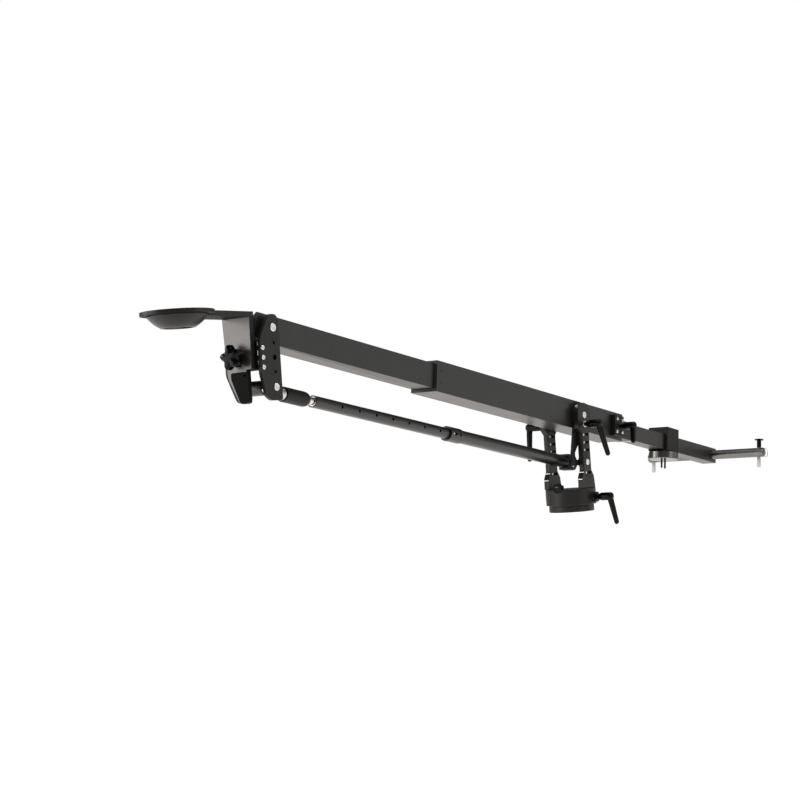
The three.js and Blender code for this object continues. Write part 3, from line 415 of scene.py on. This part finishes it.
def socket_screw(radius, height, socket, shank_radius=0.0, shank=0.0):
    """A cap screw with a hexagon socket: the head stands on z = 0 and the shank goes below."""
    edge = radius * 0.14
    socket_floor = height * 0.45
    outline = [
        (0, socket_floor), (socket, socket_floor), (socket, height), (radius - edge, height),
        (radius, height - edge), (radius, 0)]
    if shank > 0:
        outline += [(shank_radius, 0), (shank_radius, -shank), (0, -shank)]
    else:
        outline += [(0, 0)]
    return hexagonal(turned(outline, steps=24), socket)


def placed(mesh, matrix):
    """Moves a bmesh to its place."""
    bmesh.ops.transform(mesh, matrix=matrix, verts=mesh.verts)
    return mesh


near_face = -0.0465
far_face = 0.0495
upright_thickness = 0.012
near_inside = near_face + upright_thickness
far_inside = far_face - upright_thickness
slot_heights = (0.1625, 0.146, 0.130, 0.082)
slot_half = 0.00275
slot_depth = 0.0035
slot_front = -0.0109
slot_rear = 0.0124
slot_sheet = 0.0003
stop_screw_x = -0.0078
stop_screws = []
slot_shade_sheets = []
shadow_black = grained(
    "shadow_black", dark=(0.002, 0.002, 0.002), light=(0.004, 0.004, 0.004), metallic=0,
    rough=(0.6, 0.7), grain=0.001, shine=0.2)
# A thin sheet of painted shade lies on each slot's floor, so the slots read dark.
for height in slot_heights:
    for face_y, side in (
            (near_face, near), (near_inside, far), (far_inside, near), (far_face, far)):
        floor_y = face_y - side.y * slot_depth
        stop_screws.append(placed(
            socket_screw(radius=0.0026, height=0.0042, socket=0.0013),
            facing((stop_screw_x, floor_y, height), side)))
        sheet_y = sorted((floor_y, floor_y + side.y * slot_sheet))
        slot_shade_sheets.append(plain_bar(
            (slot_front, sheet_y[0], height - slot_half),
            (slot_rear, sheet_y[1], height + slot_half)))
make_piece("slot_stop_screws", together(*stop_screws), bright_steel, "pan_head",
    soften=0)
make_piece("slot_shade_sheets", together(*slot_shade_sheets), shadow_black, "pan_head",
    soften=0)
crown_x = -0.0184
crown_height = 0.2224
crown_screws = [
    placed(
        socket_screw(radius=0.0034, height=0.0022, socket=0.0017, shank_radius=0.002, shank=0.004),
        facing((crown_x, (inside + outside) / 2, crown_height), (-1, 0, 1)))
    for inside, outside in ((near_inside, near_face), (far_inside, far_face))]
make_piece("upright_crown_screws", together(*crown_screws), bright_steel,
    "pan_head", soften=0)


def prism(points, low_y, high_y):
    """A flat shape of (x, z) points, drawn out along Y."""
    mesh = bmesh.new()
    face = mesh.faces.new([mesh.verts.new((x, low_y, z)) for x, z in points])
    drawn = bmesh.ops.extrude_face_region(mesh, geom=[face])
    moved = [part for part in drawn["geom"] if isinstance(part, bmesh.types.BMVert)]
    bmesh.ops.translate(mesh, vec=(0, high_y - low_y, 0), verts=moved)
    bmesh.ops.recalc_face_normals(mesh, faces=mesh.faces)
    return mesh


notch_low = 0.0686
notch_bend = 0.073
notch_high = 0.083
foot_front = -0.0237
foot_waist = -0.0235
slope_front = -0.0171
notch_depth = 0.003
notch_inset = 0.0003
notch_highlight_half = 0.0005
notch_highlight_depth = 0.002
proud = 0.0002
# Each foot's notch is filled with painted shade, and bright steel-coloured bars along its upper and
# lower edges are painted highlights.
notch_shades = []
notch_highlights = []
for low_y, high_y in (
        (near_face + notch_inset, near_inside - notch_inset),
        (far_inside + notch_inset, far_face - notch_inset)):
    notch_shades.append(prism([
        (foot_front - proud, notch_low), (foot_waist - proud, notch_bend),
        (slope_front - proud, notch_high), (slope_front + notch_depth, notch_high),
        (foot_waist + notch_depth, notch_bend), (foot_front + notch_depth, notch_low)],
        low_y, high_y))
    for edge_height, edge_front in ((notch_low, foot_front), (notch_high, slope_front)):
        notch_highlights.append(plain_bar(
            (edge_front - notch_highlight_half, low_y, edge_height - notch_highlight_half),
            (edge_front + notch_highlight_depth, high_y, edge_height + notch_highlight_half)))
make_piece("upright_notch_shades", together(*notch_shades), shadow_black, "pan_head",
    soften=0)
make_piece("upright_notch_highlights", together(*notch_highlights), bright_steel, "pan_head",
    soften=0.0001)

# Brake plates: black powder-coated discs between the outer arm tube and the uprights. The near one
# has a tail down to the rod's bolt.
for side in ("near", "far"):
    make_piece(f"brake_{side}_plate", copy_of(f"brake_plate_{side}"), powder_black,
        "pan_head", [f"brake_plate_{side}"], soften=0.0003)

# Pivot bolts: bright steel cap screws, and a hexagon nut on the far side. One carries the arm, one
# the rod, and two more do the same at the head.


def pivot_bolt(radius, near_out, far_out):
    """A bolt along +Z, with its head towards +Z and its far end below, centred on z = 0."""
    head_radius = radius + 0.0015
    head_foot = near_out + 0.0003
    top = head_foot + 0.0012
    end = -(far_out + 0.0053)
    edge = 0.0005
    socket = 0.003
    socket_floor = top - 0.001
    return hexagonal(turned([
        (0, socket_floor), (socket, socket_floor), (socket, top), (head_radius - edge, top),
        (head_radius, top - edge), (head_radius, head_foot), (radius, head_foot),
        (radius, end + edge), (radius - edge, end), (0, end)], steps=48), socket)


arm_length = 1.0
arm_rise = radians(10)
rod_drop = Vector((0, 0, -0.1))
tilt_place = Vector((0, 0, 0.204))
head_place = tilt_place + arm_length * Vector((-cos(arm_rise), 0, sin(arm_rise)))
plate_out = 0.040
arm_bolt_radius = 0.0055
rod_bolt_radius = 0.005
for node, radius, near_out, far_out, place, body in (
        ("tilt_bolt", arm_bolt_radius, -near_face, far_face, tilt_place, "pan_head"),
        ("rod_bolt", rod_bolt_radius, -near_face, far_face, tilt_place + rod_drop, "pan_head"),
        ("head_bolt", arm_bolt_radius, plate_out, plate_out, head_place, "head"),
        ("head_rod_bolt", rod_bolt_radius, plate_out, plate_out, head_place + rod_drop, "head")):
    make_piece(f"{node}_screw", pivot_bolt(radius, near_out, far_out), bright_steel,
        body, [node], seat=facing(place, near), soften=0.0001)
for node, body in (
        ("tilt_nut", "pan_head"), ("rod_nut", "pan_head"), ("head_nut", "head"),
        ("head_rod_nut", "head")):
    make_piece(f"{node}_hexagon", copy_of(node), bright_steel, body, [node],
        soften=0.0005)

# Clamping levers: black glass-filled plastic on a steel stud. The hub swells away from its neck
# and ends in a dome, and the handle hangs from it and tapers to a round tip.
black_plastic = grained(
    "black_plastic", dark=(0.0016, 0.0016, 0.0016), light=(0.0032, 0.0032, 0.0032), metallic=0,
    rough=(0.15, 0.22), grain=0.0009, relief=0.05, shine=0.12)
quarter_turn = [k * pi / 12 for k in range(7)]


def clamp_lever(reach, handle_length, handle_degrees, flange=0.0):
    """A lever on a seat at z = 0 that stands out along +Z, with its handle down along -Y."""
    stud = 0.003
    stud_end = -0.009
    seat_gap = 0.0003
    flange_radius = 0.011
    flange_edge = 0.0006
    neck = 0.0046
    neck_start = flange + 0.0008
    neck_end = 0.006
    hub = 0.0085
    hub_start = hub - 0.0012
    shoulder = 0.014
    dome_height = hub * 0.75
    foot = [(0, stud_end), (stud, stud_end), (stud, seat_gap)]
    if flange > 0:
        foot += [
            (flange_radius - flange_edge, seat_gap), (flange_radius, seat_gap + flange_edge),
            (flange_radius, flange), (flange_radius - flange_edge, flange + flange_edge)]
    foot += [(neck, neck_start), (neck, neck_end), (hub_start, shoulder - 0.003), (hub, shoulder)]
    dome = [
        (hub * cos(turn), reach - dome_height + dome_height * sin(turn)) for turn in quarter_turn]
    dome[-1] = (0, reach)
    body = turned(foot + dome, steps=40)
    root = 0.0066
    waist = root * 0.94
    tip = 0.0052
    tip_start = handle_length - tip
    grip = [(0, 0), (root, 0), (waist, handle_length * 0.3), (tip, tip_start)]
    grip += [(tip * cos(turn), tip_start + tip * sin(turn)) for turn in quarter_turn[1:6]]
    grip += [(0, handle_length)]
    handle = turned(grip, steps=32)
    swing = radians(handle_degrees)
    lean = radians(5)
    down = Vector((sin(swing) * cos(lean), -cos(swing) * cos(lean), sin(lean)))
    return together(body, placed(handle, facing((0, 0, reach - hub), down)))


def lever_seat(place, side):
    """Turns a lever's +Z out to the near or the far side, with its +X to the rear and +Y up."""
    turn = Matrix(((1, 0, 0), (0, 0, side.y), (0, 1, 0))).to_4x4()
    return Matrix.Translation(Vector(place)) @ turn


make_piece("pan_clamp_lever",
    clamp_lever(reach=0.042, handle_length=0.062, handle_degrees=13, flange=0.003),
    black_plastic, "pan_lever", ["pan_lever"],
    seat=lever_seat((pan_lever_x, pan_boss_root - pan_boss_length, pan_lever_height), near),
    soften=0.0003)
tilt_lever_x = -0.001
tilt_lever_height = 0.1845
tilt_handle_length = 0.074
for name, side, face_y, reach, degrees in (
        ("near", near, near_face, 0.042, 18), ("far", far, far_face, 0.051, 2)):
    make_piece(f"tilt_clamp_{name}", clamp_lever(reach, tilt_handle_length, degrees), black_plastic,
        f"tilt_lever_{name}", [f"tilt_lever_{name}"],
        seat=lever_seat((tilt_lever_x, face_y, tilt_lever_height), side), soften=0.0003)
washer_bore = 0.0048
washer_radius = 0.0067
washer_foot = 0.0001
washer_top = 0.0018
washer_edge = 0.0004
lever_washers = [
    placed(turned([
        (washer_bore, washer_foot), (washer_radius, washer_foot),
        (washer_radius, washer_top - washer_edge), (washer_radius - washer_edge, washer_top),
        (washer_bore, washer_top)], steps=32),
        facing((tilt_lever_x, face_y, tilt_lever_height), side))
    for face_y, side in ((near_face, near), (far_face, far))]
make_piece("tilt_lever_washers", together(*lever_washers), bright_steel, "pan_head",
    soften=0)

# Outer arm tube: a sawn square tube of black anodised aluminium, with a grey slide bush in its
# front end and small screws that set the bush from the side faces. The inner tube's tail pad and
# the fork's bushes are of the same grey plastic.
arm_seat = Matrix.Translation(tilt_place) @ Matrix.Rotation(arm_rise, 4, "Y")
tube_black = grained(
    "tube_black", dark=(0.0095, 0.009, 0.0083), light=(0.0158, 0.015, 0.0139), metallic=0,
    rough=(0.34, 0.42), grain=0.0005, stretch=(0.04, 1, 1), relief=0.05)
make_piece("arm_outer_tube", copy_of("arm_tube_outer"), tube_black, "arm_outer",
    ["arm_tube_outer"], soften=0.0009)
bush_grey = grained(
    "bush_grey", dark=(0.028, 0.028, 0.027), light=(0.045, 0.045, 0.043), metallic=0,
    rough=(0.5, 0.62), grain=0.001)
for node, body in (
        ("front_slide_bush", "arm_outer"), ("inner_tail_pad", "arm_inner"),
        ("fork_bush_near", "arm_inner"), ("fork_bush_far", "arm_inner")):
    make_piece(f"{node}_shape", copy_of(node), bush_grey, body, [node], soften=0.0003)
outer_tube_half = 0.030
bush_screw_along = -0.500
bush_screw_up = 0.0115
bush_screws = [
    placed(socket_screw(radius=0.0024, height=0.0004, socket=0.0012),
           facing(arm_seat @ Vector((bush_screw_along, side.y * outer_tube_half, up)), side))
    for side in (near, far) for up in (-bush_screw_up, bush_screw_up)]
make_piece("front_bush_screws", together(*bush_screws), black_anodised,
    "arm_outer", soften=0)

# Inner arm tube: a smaller square tube of the same black anodised aluminium that slides in the
# outer one. Its side walls go on as a rounded fork for the head.
make_piece("arm_inner_tube", copy_of("arm_tube_inner"), tube_black, "arm_inner",
    ["arm_tube_inner"], soften=0.0009)

# Rear clamp: an anodised block in the end of the outer tube that goes on as a square sleeve with a
# bare end face, a cheek on each side of the tube, bright cap screws and a short clamping lever.
satin_aluminium = grained(
    "satin_aluminium", dark=(0.34, 0.335, 0.325), light=(0.46, 0.455, 0.44), metallic=1,
    rough=(0.30, 0.42), grain=0.0006, stretch=(0.1, 1, 1), relief=0.05)
make_piece("rear_clamp_sleeve", copy_of("rear_clamp_body"), black_anodised,
    "arm_outer", ["rear_clamp_body"], soften=0.0008)
for side in ("near", "far"):
    make_piece(f"cheek_{side}", copy_of(f"clamp_cheek_{side}"), powder_black,
        "arm_outer", [f"clamp_cheek_{side}"], soften=0.0012)
cheek_out = 0.0403
clamp_screws = [
    placed(socket_screw(radius=0.0036, height=0.0024, socket=0.0018),
           facing(arm_seat @ Vector((along, side.y * cheek_out, up)), side))
    for side in (near, far)
    for along, up in ((0.150, -0.014), (0.150, 0.014), (0.1725, -0.0135), (0.1725, 0.0135))]
make_piece("rear_clamp_screws", together(*clamp_screws), bright_steel, "arm_outer",
    soften=0)
sleeve_end = 0.261
sleeve_out = 0.0201
sleeve_in = 0.0178
band_front = sleeve_end - 0.007
band_rear = sleeve_end + 0.0001
band_bars = [
    plain_bar((band_front, low_y, low_z), (band_rear, high_y, high_z))
    for low_y, low_z, high_y, high_z in (
        (-sleeve_out, sleeve_in, sleeve_out, sleeve_out),
        (-sleeve_out, -sleeve_out, sleeve_out, -sleeve_in),
        (-sleeve_out, -sleeve_in, -sleeve_in, sleeve_in),
        (sleeve_in, -sleeve_in, sleeve_out, sleeve_in))]
make_piece("sleeve_end_band", together(*band_bars), satin_aluminium,
    "arm_outer", seat=arm_seat, soften=0)
rear_lever_along = 0.168
make_piece("rear_clamp_lever",
    clamp_lever(reach=0.038, handle_length=0.040, handle_degrees=-14), black_plastic,
    "rear_lever", ["rear_lever"],
    seat=lever_seat(arm_seat @ Vector((rear_lever_along, -cheek_out, 0)), near), soften=0.0003)

# Rear tube: a square tube of black anodised aluminium that slides in the clamp. A powder-coated
# saddle slides on it, with a round grey metal puck and two black pins below.
make_piece("rear_square_tube", copy_of("rear_tube"), tube_black, "rear_arm",
    ["rear_tube"], soften=0.0008)
make_piece("saddle_shell", copy_of("saddle_block"), powder_black, "saddle",
    ["saddle_block"], soften=0.0015)
puck_along = 0.4375
puck_top = -0.0208
puck_foot = puck_top - 0.017
puck_radius = 0.034
puck_edge = 0.0012
puck_grey = grained(
    "puck_grey", dark=(0.10, 0.099, 0.097), light=(0.14, 0.139, 0.135), metallic=1,
    rough=(0.24, 0.32), grain=0.0006, relief=0.03)
make_piece("saddle_round_puck", turned([
    (0, puck_top), (0, puck_foot), (puck_radius - puck_edge, puck_foot),
    (puck_radius, puck_foot + puck_edge), (puck_radius, puck_top - puck_edge),
    (puck_radius - puck_edge, puck_top)], steps=72),
    puck_grey, "saddle", ["saddle_puck"],
    seat=arm_seat @ Matrix.Translation((puck_along, 0, 0)), soften=0.0003)
puck_pin_radius = 0.0022
puck_pin_length = 0.020
puck_pin_edge = 0.0005
puck_pin_offset = 0.008
puck_pins = [
    placed(turned([
        (0, 0), (puck_pin_radius, 0), (puck_pin_radius, puck_pin_edge - puck_pin_length),
        (puck_pin_radius - puck_pin_edge, -puck_pin_length), (0, -puck_pin_length)], steps=20),
        arm_seat @ Matrix.Translation((puck_along + offset, 0, puck_foot)))
    for offset in (-puck_pin_offset, puck_pin_offset)]
make_piece("saddle_puck_pins", together(*puck_pins), black_plastic, "saddle",
    soften=0)

# Weight bar: a round dark steel bar across the rear tube, with a stud and a split ring at each end,
# and two steel hitch pins that hang through it by their black heads.
dark_steel = grained(
    "dark_steel", dark=(0.13, 0.129, 0.126), light=(0.19, 0.188, 0.184), metallic=1,
    rough=(0.26, 0.36), grain=0.0006, stretch=(1, 0.1, 1), relief=0.03)
bar_along = 0.650
bar_half = 0.1533
bar_radius = 0.011
bar_edge = 0.001
bar_seat = arm_seat @ Matrix.Translation((bar_along, 0, 0))
make_piece("weight_round_bar", turned([
    (0, -bar_half), (bar_radius - bar_edge, -bar_half), (bar_radius, -bar_half + bar_edge),
    (bar_radius, bar_half - bar_edge), (bar_radius - bar_edge, bar_half), (0, bar_half)], steps=48),
    dark_steel, "rear_arm", ["weight_bar"],
    seat=bar_seat @ facing((0, 0, 0), far), soften=0.0002)
pin_steel = grained(
    "pin_steel", dark=(0.34, 0.338, 0.33), light=(0.44, 0.437, 0.43), metallic=1,
    rough=(0.12, 0.20), grain=0.0008, relief=0.015)
hitch_out = 0.141
hitch_radius = 0.0045
hitch_tip = -0.036
hitch_tip_radius = 0.0030
hitch_taper = 0.0025
hitch_top = 0.0112
cap_foot = 0.0113
cap_neck = 0.0052
cap_radius = 0.0105
cap_under = 0.029
cap_shoulder = 0.0312
cap_top = 0.032
cap_edge = 0.001
stud_radius = 0.0035
stud_rise = 0.0016
wire_radius = 0.0007
ring_radius = 0.0105
ring_x = 0.0085
ring_out = bar_half + wire_radius + 0.0001
for name, side in (("near", near), ("far", far)):
    pin_seat = bar_seat @ Matrix.Translation(side * hitch_out)
    make_piece(f"hitch_{name}_pin", turned([
        (0, hitch_tip), (hitch_tip_radius, hitch_tip), (hitch_radius, hitch_tip + hitch_taper),
        (hitch_radius, hitch_top), (0, hitch_top)], steps=32),
        pin_steel, f"hitch_{name}", [f"hitch_pin_{name}"], seat=pin_seat,
        soften=0.0002)
    make_piece(f"hitch_{name}_head", turned([
        (0, cap_foot), (cap_neck, cap_foot), (cap_neck, cap_under), (cap_radius, cap_under),
        (cap_radius, cap_shoulder), (cap_radius - cap_edge, cap_top), (0, cap_top)], steps=32),
        black_plastic, f"hitch_{name}", seat=pin_seat, soften=0.0002)
    ring = bmesh.new()
    bmesh.ops.create_circle(ring, radius=wire_radius, segments=10)
    bmesh.ops.rotate(ring, verts=ring.verts, cent=(0, 0, 0), matrix=Matrix.Rotation(pi / 2, 3, "X"))
    bmesh.ops.translate(ring, verts=ring.verts, vec=(ring_radius, 0, 0))
    bmesh.ops.spin(
        ring, geom=ring.verts[:] + ring.edges[:], cent=(0, 0, 0), axis=(0, 0, 1), dvec=(0, 0, 0),
        angle=tau, steps=40, use_merge=True)
    bmesh.ops.remove_doubles(ring, verts=ring.verts, dist=weld)
    bmesh.ops.recalc_face_normals(ring, faces=ring.faces)
    stud = turned([(0, 0), (stud_radius, 0), (stud_radius, stud_rise), (0, stud_rise)], steps=24)
    stud_seat = bar_seat @ facing(side * bar_half, side)
    ring_seat = bar_seat @ facing((ring_x, side.y * ring_out, 0), side)
    make_piece(f"bar_{name}_ring", together(placed(stud, stud_seat), placed(ring, ring_seat)),
        pin_steel, "rear_arm", soften=0)

# Rod: a round tube from the rear knuckle to a locking collar, black anodised. The collar has a
# slot with the latch button, and two bright screws.
rod_seat = Matrix.Translation(tilt_place + rod_drop) @ Matrix.Rotation(arm_rise, 4, "Y")
rod_forward = rod_seat @ facing((0, 0, 0), (-1, 0, 0))
tube_gloss = grained(
    "rod_black", dark=(0.007, 0.0067, 0.0064), light=(0.0125, 0.0119, 0.0113), metallic=0,
    rough=(0.26, 0.34), grain=0.0006, stretch=(0.05, 1, 1), relief=0.04)
rod_radius = 0.013
rod_bore = 0.0113
rod_rear = 0.0193
rod_front = 0.450
make_piece("rod_outer_tube", turned([
    (rod_bore, rod_rear), (rod_radius, rod_rear), (rod_radius, rod_front),
    (rod_bore, rod_front)], steps=64),
    tube_gloss, "rod_outer", ["rod_tube_outer"], seat=rod_forward, soften=0.0003)
make_piece("rod_knuckle", copy_of("rod_rear_knuckle"), powder_black, "rod_outer",
    ["rod_rear_knuckle"], soften=0.0008)
knuckle_out = -0.012
knuckle_screw_x = -0.002
knuckle_screw_up = 0.008
knuckle_screws = [
    placed(socket_screw(radius=0.0025, height=0.0012, socket=0.0012),
           facing(rod_seat @ Vector((knuckle_screw_x, knuckle_out, up)), near))
    for up in (-knuckle_screw_up, knuckle_screw_up)]
make_piece("knuckle_screws", together(*knuckle_screws), bright_steel, "rod_outer",
    soften=0)
make_piece("rod_lock_collar", copy_of("rod_collar"), tube_gloss, "rod_outer",
    ["rod_collar"], soften=0.0004)
collar_screws = [
    placed(socket_screw(radius, height=0.0014, socket=radius * 0.5),
           facing(rod_seat @ Vector((along, out, 0)), near))
    for along, out, radius in ((-0.436, -0.0128, 0.0026), (-0.446, -0.0140, 0.0018))]
make_piece("collar_screws", together(*collar_screws), bright_steel, "rod_outer",
    soften=0)
make_piece("latch_peg", copy_of("latch_button"), black_plastic, "latch",
    ["latch_button"], soften=0.0003)

# Inner rod tube: a black tube with a row of index holes on its near side, a bright stub, a black
# sleeve with a round shoulder and the eye that turns on the head's lower bolt.
make_piece("rod_inner_tube", copy_of("rod_tube_inner"), tube_gloss, "rod_inner",
    ["rod_tube_inner"], soften=0.0003)
sleeve_front = 0.939
sleeve_rear = 0.8735
sleeve_bore = 0.0075
sleeve_radius = 0.0135
sleeve_edge = 0.0003
sleeve_wall = sleeve_radius - sleeve_bore
sleeve_dome = 0.013
sleeve_turns = [k * pi / 24 for k in range(12)]
sleeve_shoulder = [
    (sleeve_bore + sleeve_wall * cos(turn), sleeve_rear + sleeve_dome * (1 - sin(turn)))
    for turn in sleeve_turns]
make_piece("rod_front_sleeve", turned([
    (sleeve_bore, sleeve_front), (sleeve_radius - sleeve_edge, sleeve_front),
    (sleeve_radius, sleeve_front - sleeve_edge)]
    + sleeve_shoulder + [(sleeve_bore, sleeve_rear)], steps=64),
    powder_black, "rod_inner", ["rod_sleeve"], seat=rod_forward, soften=0)
chrome = grained(
    "bright_chrome", dark=(0.46, 0.458, 0.452), light=(0.56, 0.558, 0.552), metallic=1,
    rough=(0.07, 0.13), grain=0.001, relief=0.01)
stub_rear = 0.8335
stub_front = 0.8585
stub_radius = 0.0087
shank_radius = 0.0072
collar_rear = 0.9393
collar_front = 0.9593
collar_radius = 0.0115
groove_rear = 0.9450
groove_front = 0.9468
groove_slope = 0.0004
groove_radius = collar_radius - 0.0006
eye_neck = 0.009
make_piece("rod_eye_shank", turned([
    (0, stub_rear), (stub_radius, stub_rear), (stub_radius, stub_front),
    (shank_radius, stub_front), (shank_radius, collar_rear), (collar_radius, collar_rear),
    (collar_radius, groove_rear), (groove_radius, groove_rear + groove_slope),
    (groove_radius, groove_front - groove_slope), (collar_radius, groove_front),
    (collar_radius, collar_front), (eye_neck, collar_front), (eye_neck, arm_length),
    (0, arm_length)], steps=64),
    chrome, "rod_inner", ["rod_front_eye"], seat=rod_forward, soften=0.0003)
eye_bore = 0.0053
eye_half = 0.015
eye_radius = 0.013
eye_edge = 0.0008
make_piece("rod_eye_ring", turned([
    (eye_bore, -eye_half), (eye_radius - eye_edge, -eye_half), (eye_radius, -eye_half + eye_edge),
    (eye_radius, eye_half - eye_edge), (eye_radius - eye_edge, eye_half),
    (eye_bore, eye_half)], steps=64),
    tube_gloss, "rod_inner",
    seat=rod_seat @ facing((-arm_length, 0, 0), far), soften=0.0002)

# Head plates: two black anodised plates that turn on the arm's fork and on the rod's eye, held
# apart by chromed spacers beside the eye and by the post block with its bright tie screws. A dark
# disc of painted shade closes the large hole of the near plate.
for side in ("near", "far"):
    make_piece(f"head_{side}_plate", copy_of(f"head_plate_{side}"), black_anodised,
        "head", [f"head_plate_{side}"], soften=0.0006)
hole_shade_y = -0.0342
hole_drop = 0.0502
hole_radius = 0.0046
hole_sheet = 0.0006
make_piece("head_hole_shade_disc",
    turned([(0, 0), (hole_radius, 0), (hole_radius, hole_sheet), (0, hole_sheet)], steps=32),
    shadow_black, "head",
    seat=facing(head_place + Vector((0, hole_shade_y, -hole_drop)), near), soften=0)
spacer_foot = 0.0153
spacer_step = 0.004
spacer_length = 0.0184
spacer_radius = 0.011
spacer_waist = 0.008
spacer_edge = 0.0005
for name, side in (("near", near), ("far", far)):
    make_piece(f"eye_{name}_spacer", turned([
        (eye_bore, 0), (spacer_radius - spacer_edge, 0), (spacer_radius, spacer_edge),
        (spacer_radius, spacer_step - spacer_edge), (spacer_radius - spacer_edge, spacer_step),
        (spacer_waist, spacer_step), (spacer_waist, spacer_length),
        (eye_bore, spacer_length)], steps=48),
        chrome, "head", [f"eye_ring_{name}"],
        seat=facing(head_place + rod_drop + side * spacer_foot, side), soften=0.0002)
make_piece("post_casting", copy_of("post_block"), powder_black, "head",
    ["post_block"], soften=0.0008)
tie_x = -0.030
tie_seat_y = -0.0403
through_tie = 0.0826
short_tie = 0.03055
for name, drop, tie_length in (
        ("upper", 0.0342, through_tie), ("middle", 0.0505, short_tie),
        ("lower", 0.0668, through_tie)):
    make_piece(f"tie_{name}_screw",
        socket_screw(
            radius=0.004, height=0.002, socket=0.002, shank_radius=0.0025, shank=tie_length),
        bright_steel, "head", [f"post_tie_{name}"],
        seat=facing(head_place + Vector((tie_x, tie_seat_y, -drop)), near), soften=0)

# Bracket: a thick black plate hinged on a pin between the head plates, with painted sheen on its
# front faces, a dull pad on its lower front and a platform on top that ends in a ring for the bowl,
# its underside in painted shade.
# Dull black for the pad, also used as painted shade on the platform's underside.
dull_black_and_shade = grained(
    "dull_black_and_shade", dark=(0.0055, 0.0053, 0.0050), light=(0.0105, 0.0101, 0.0095), metallic=0,
    rough=(0.5, 0.6), grain=0.0008, relief=0.05, shine=0.04)
plate_sheen = grained(
    "plate_sheen", dark=(0.0105, 0.0098, 0.0090), light=(0.0180, 0.0169, 0.0155), metallic=0,
    rough=(0.34, 0.42), grain=0.0006, relief=0.05, shine=1.0)
plate_shader = plate_sheen.node_tree.nodes["Principled BSDF"]
plate_shader.inputs["IOR"].default_value = 1.68
plate_shader.inputs["Specular Tint"].default_value = (1, 0.955, 0.92, 1)
# The plate's front faces take the lighter, shinier plate_sheen as painted sheen; its other faces
# keep the darker powder black.
plate_mesh = copy_of("bracket_plate")
for face in plate_mesh.faces:
    face.material_index = 0 if face.normal.x < -0.9 else 1
make_piece("bracket_back_plate", plate_mesh, [plate_sheen, powder_black],
    "bracket", ["bracket_plate"], soften=0.0008)
make_piece("bracket_front_pad", copy_of("bracket_pad"), dull_black_and_shade, "bracket",
    ["bracket_pad"], soften=0.0008)
platform_mesh = copy_of("bracket_platform")
# The platform's faces that look down take the darker, duller black as painted shade.
for face in platform_mesh.faces:
    face.material_index = 1 if face.normal.z < -0.5 else 0
make_piece("bracket_ring_platform", platform_mesh, [black_anodised, dull_black_and_shade],
    "bracket", ["bracket_platform"], soften=0.0011)
platform_screw_x = -0.044
platform_screw_y = 0.018
platform_top = 0.0267
platform_screws = [
    placed(socket_screw(radius=0.004, height=0.0004, socket=0.0021),
           facing(head_place + Vector((platform_screw_x, y, platform_top)), (0, 0, 1)))
    for y in (-platform_screw_y, platform_screw_y)]
make_piece("platform_screws", together(*platform_screws), bright_steel, "bracket",
    soften=0)

# Bowl: a turned insert with a round hollow of 100 mm, black anodised, open at the bottom. Its
# flange lies in the platform's ring.
bowl_steps = 14


def bowl_arc(radius, centre, low, high):
    """A stretch of a round profile from one height to another, round a centre on the axis."""
    heights = [low + (high - low) * k / bowl_steps for k in range(bowl_steps + 1)]
    return [(sqrt(radius ** 2 - (centre - height) ** 2), height) for height in heights]


bowl_centre = head_place + Vector((-0.1856, 0, 0))
bowl_top = 0.027
bowl_curve = 0.0606
bowl_hole = 0.0275
bowl_neck = 0.0495
bowl_outer_centre = sqrt(bowl_curve ** 2 - bowl_hole ** 2)
bowl_shoulder = bowl_outer_centre - sqrt(bowl_curve ** 2 - bowl_neck ** 2)
ball_radius = 0.050
ball_mouth = 0.047
ball_centre = bowl_top + sqrt(ball_radius ** 2 - ball_mouth ** 2)
flange_radius = 0.056
flange_foot = 0.0246
flange_edge = 0.0006
make_piece("bowl_shell", turned(
    bowl_arc(bowl_curve, bowl_outer_centre, 0, bowl_shoulder)
    + [(bowl_neck, flange_foot), (flange_radius, flange_foot),
       (flange_radius, bowl_top - flange_edge), (flange_radius - flange_edge, bowl_top)]
    + bowl_arc(ball_radius, ball_centre, 0, bowl_top)[::-1], steps=128),
    black_anodised, "bracket", ["bowl_insert"],
    seat=Matrix.Translation(bowl_centre), soften=0.0002)

# Knob: glossy black plastic with a domed front and five round lobes, moulded on a steel stud that
# goes through the bracket plate.
knob_place = Vector((-0.056, 0, -0.048))
knob_radius = 0.0186
knob_thickness = 0.016
lobe_height = 0.0036
lobe_count = 5
lobe_turn = radians(10)
knob_rim = (
    (-0.0022, 0), (0, 0.0022), (0, 0.0098), (-0.0006, 0.0117), (-0.0020, 0.0132), (-0.0044, 0.0144),
    (-0.0080, 0.0153), (-0.0120, 0.0158))
knob_body = turned(
    [(0, 0)] + [(knob_radius + inset, height) for inset, height in knob_rim]
    + [(0, knob_thickness)], steps=120)
for vert in knob_body.verts:
    across = Vector((vert.co.x, vert.co.y, 0))
    if across.length > weld:
        turn = atan2(across.y, across.x)
        vert.co += lobe_height * cos(lobe_count * (turn - lobe_turn)) * across.normalized()
knob_stud_end = -0.0335
knob_stud_radius = 0.003
boss_foot = -0.0082
boss_radius = 0.0085
boss_top = 0.002
knob_stud = turned([
    (0, knob_stud_end), (knob_stud_radius, knob_stud_end), (knob_stud_radius, boss_foot),
    (boss_radius, boss_foot), (boss_radius, boss_top), (0, boss_top)], steps=32)
knob_gloss = grained(
    "knob_gloss", dark=(0.0015, 0.0015, 0.0015), light=(0.003, 0.003, 0.003), metallic=0,
    rough=(0.08, 0.12), grain=0.0012, relief=0.01, shine=0.12)
knob_seat = Matrix.Translation(head_place + knob_place) @ Matrix((
    (0, 0, -1), (0, 1, 0), (1, 0, 0))).to_4x4()
make_piece("bracket_star_knob", together(knob_body, knob_stud), knob_gloss,
    "star_knob", ["star_knob"], seat=knob_seat, soften=0)
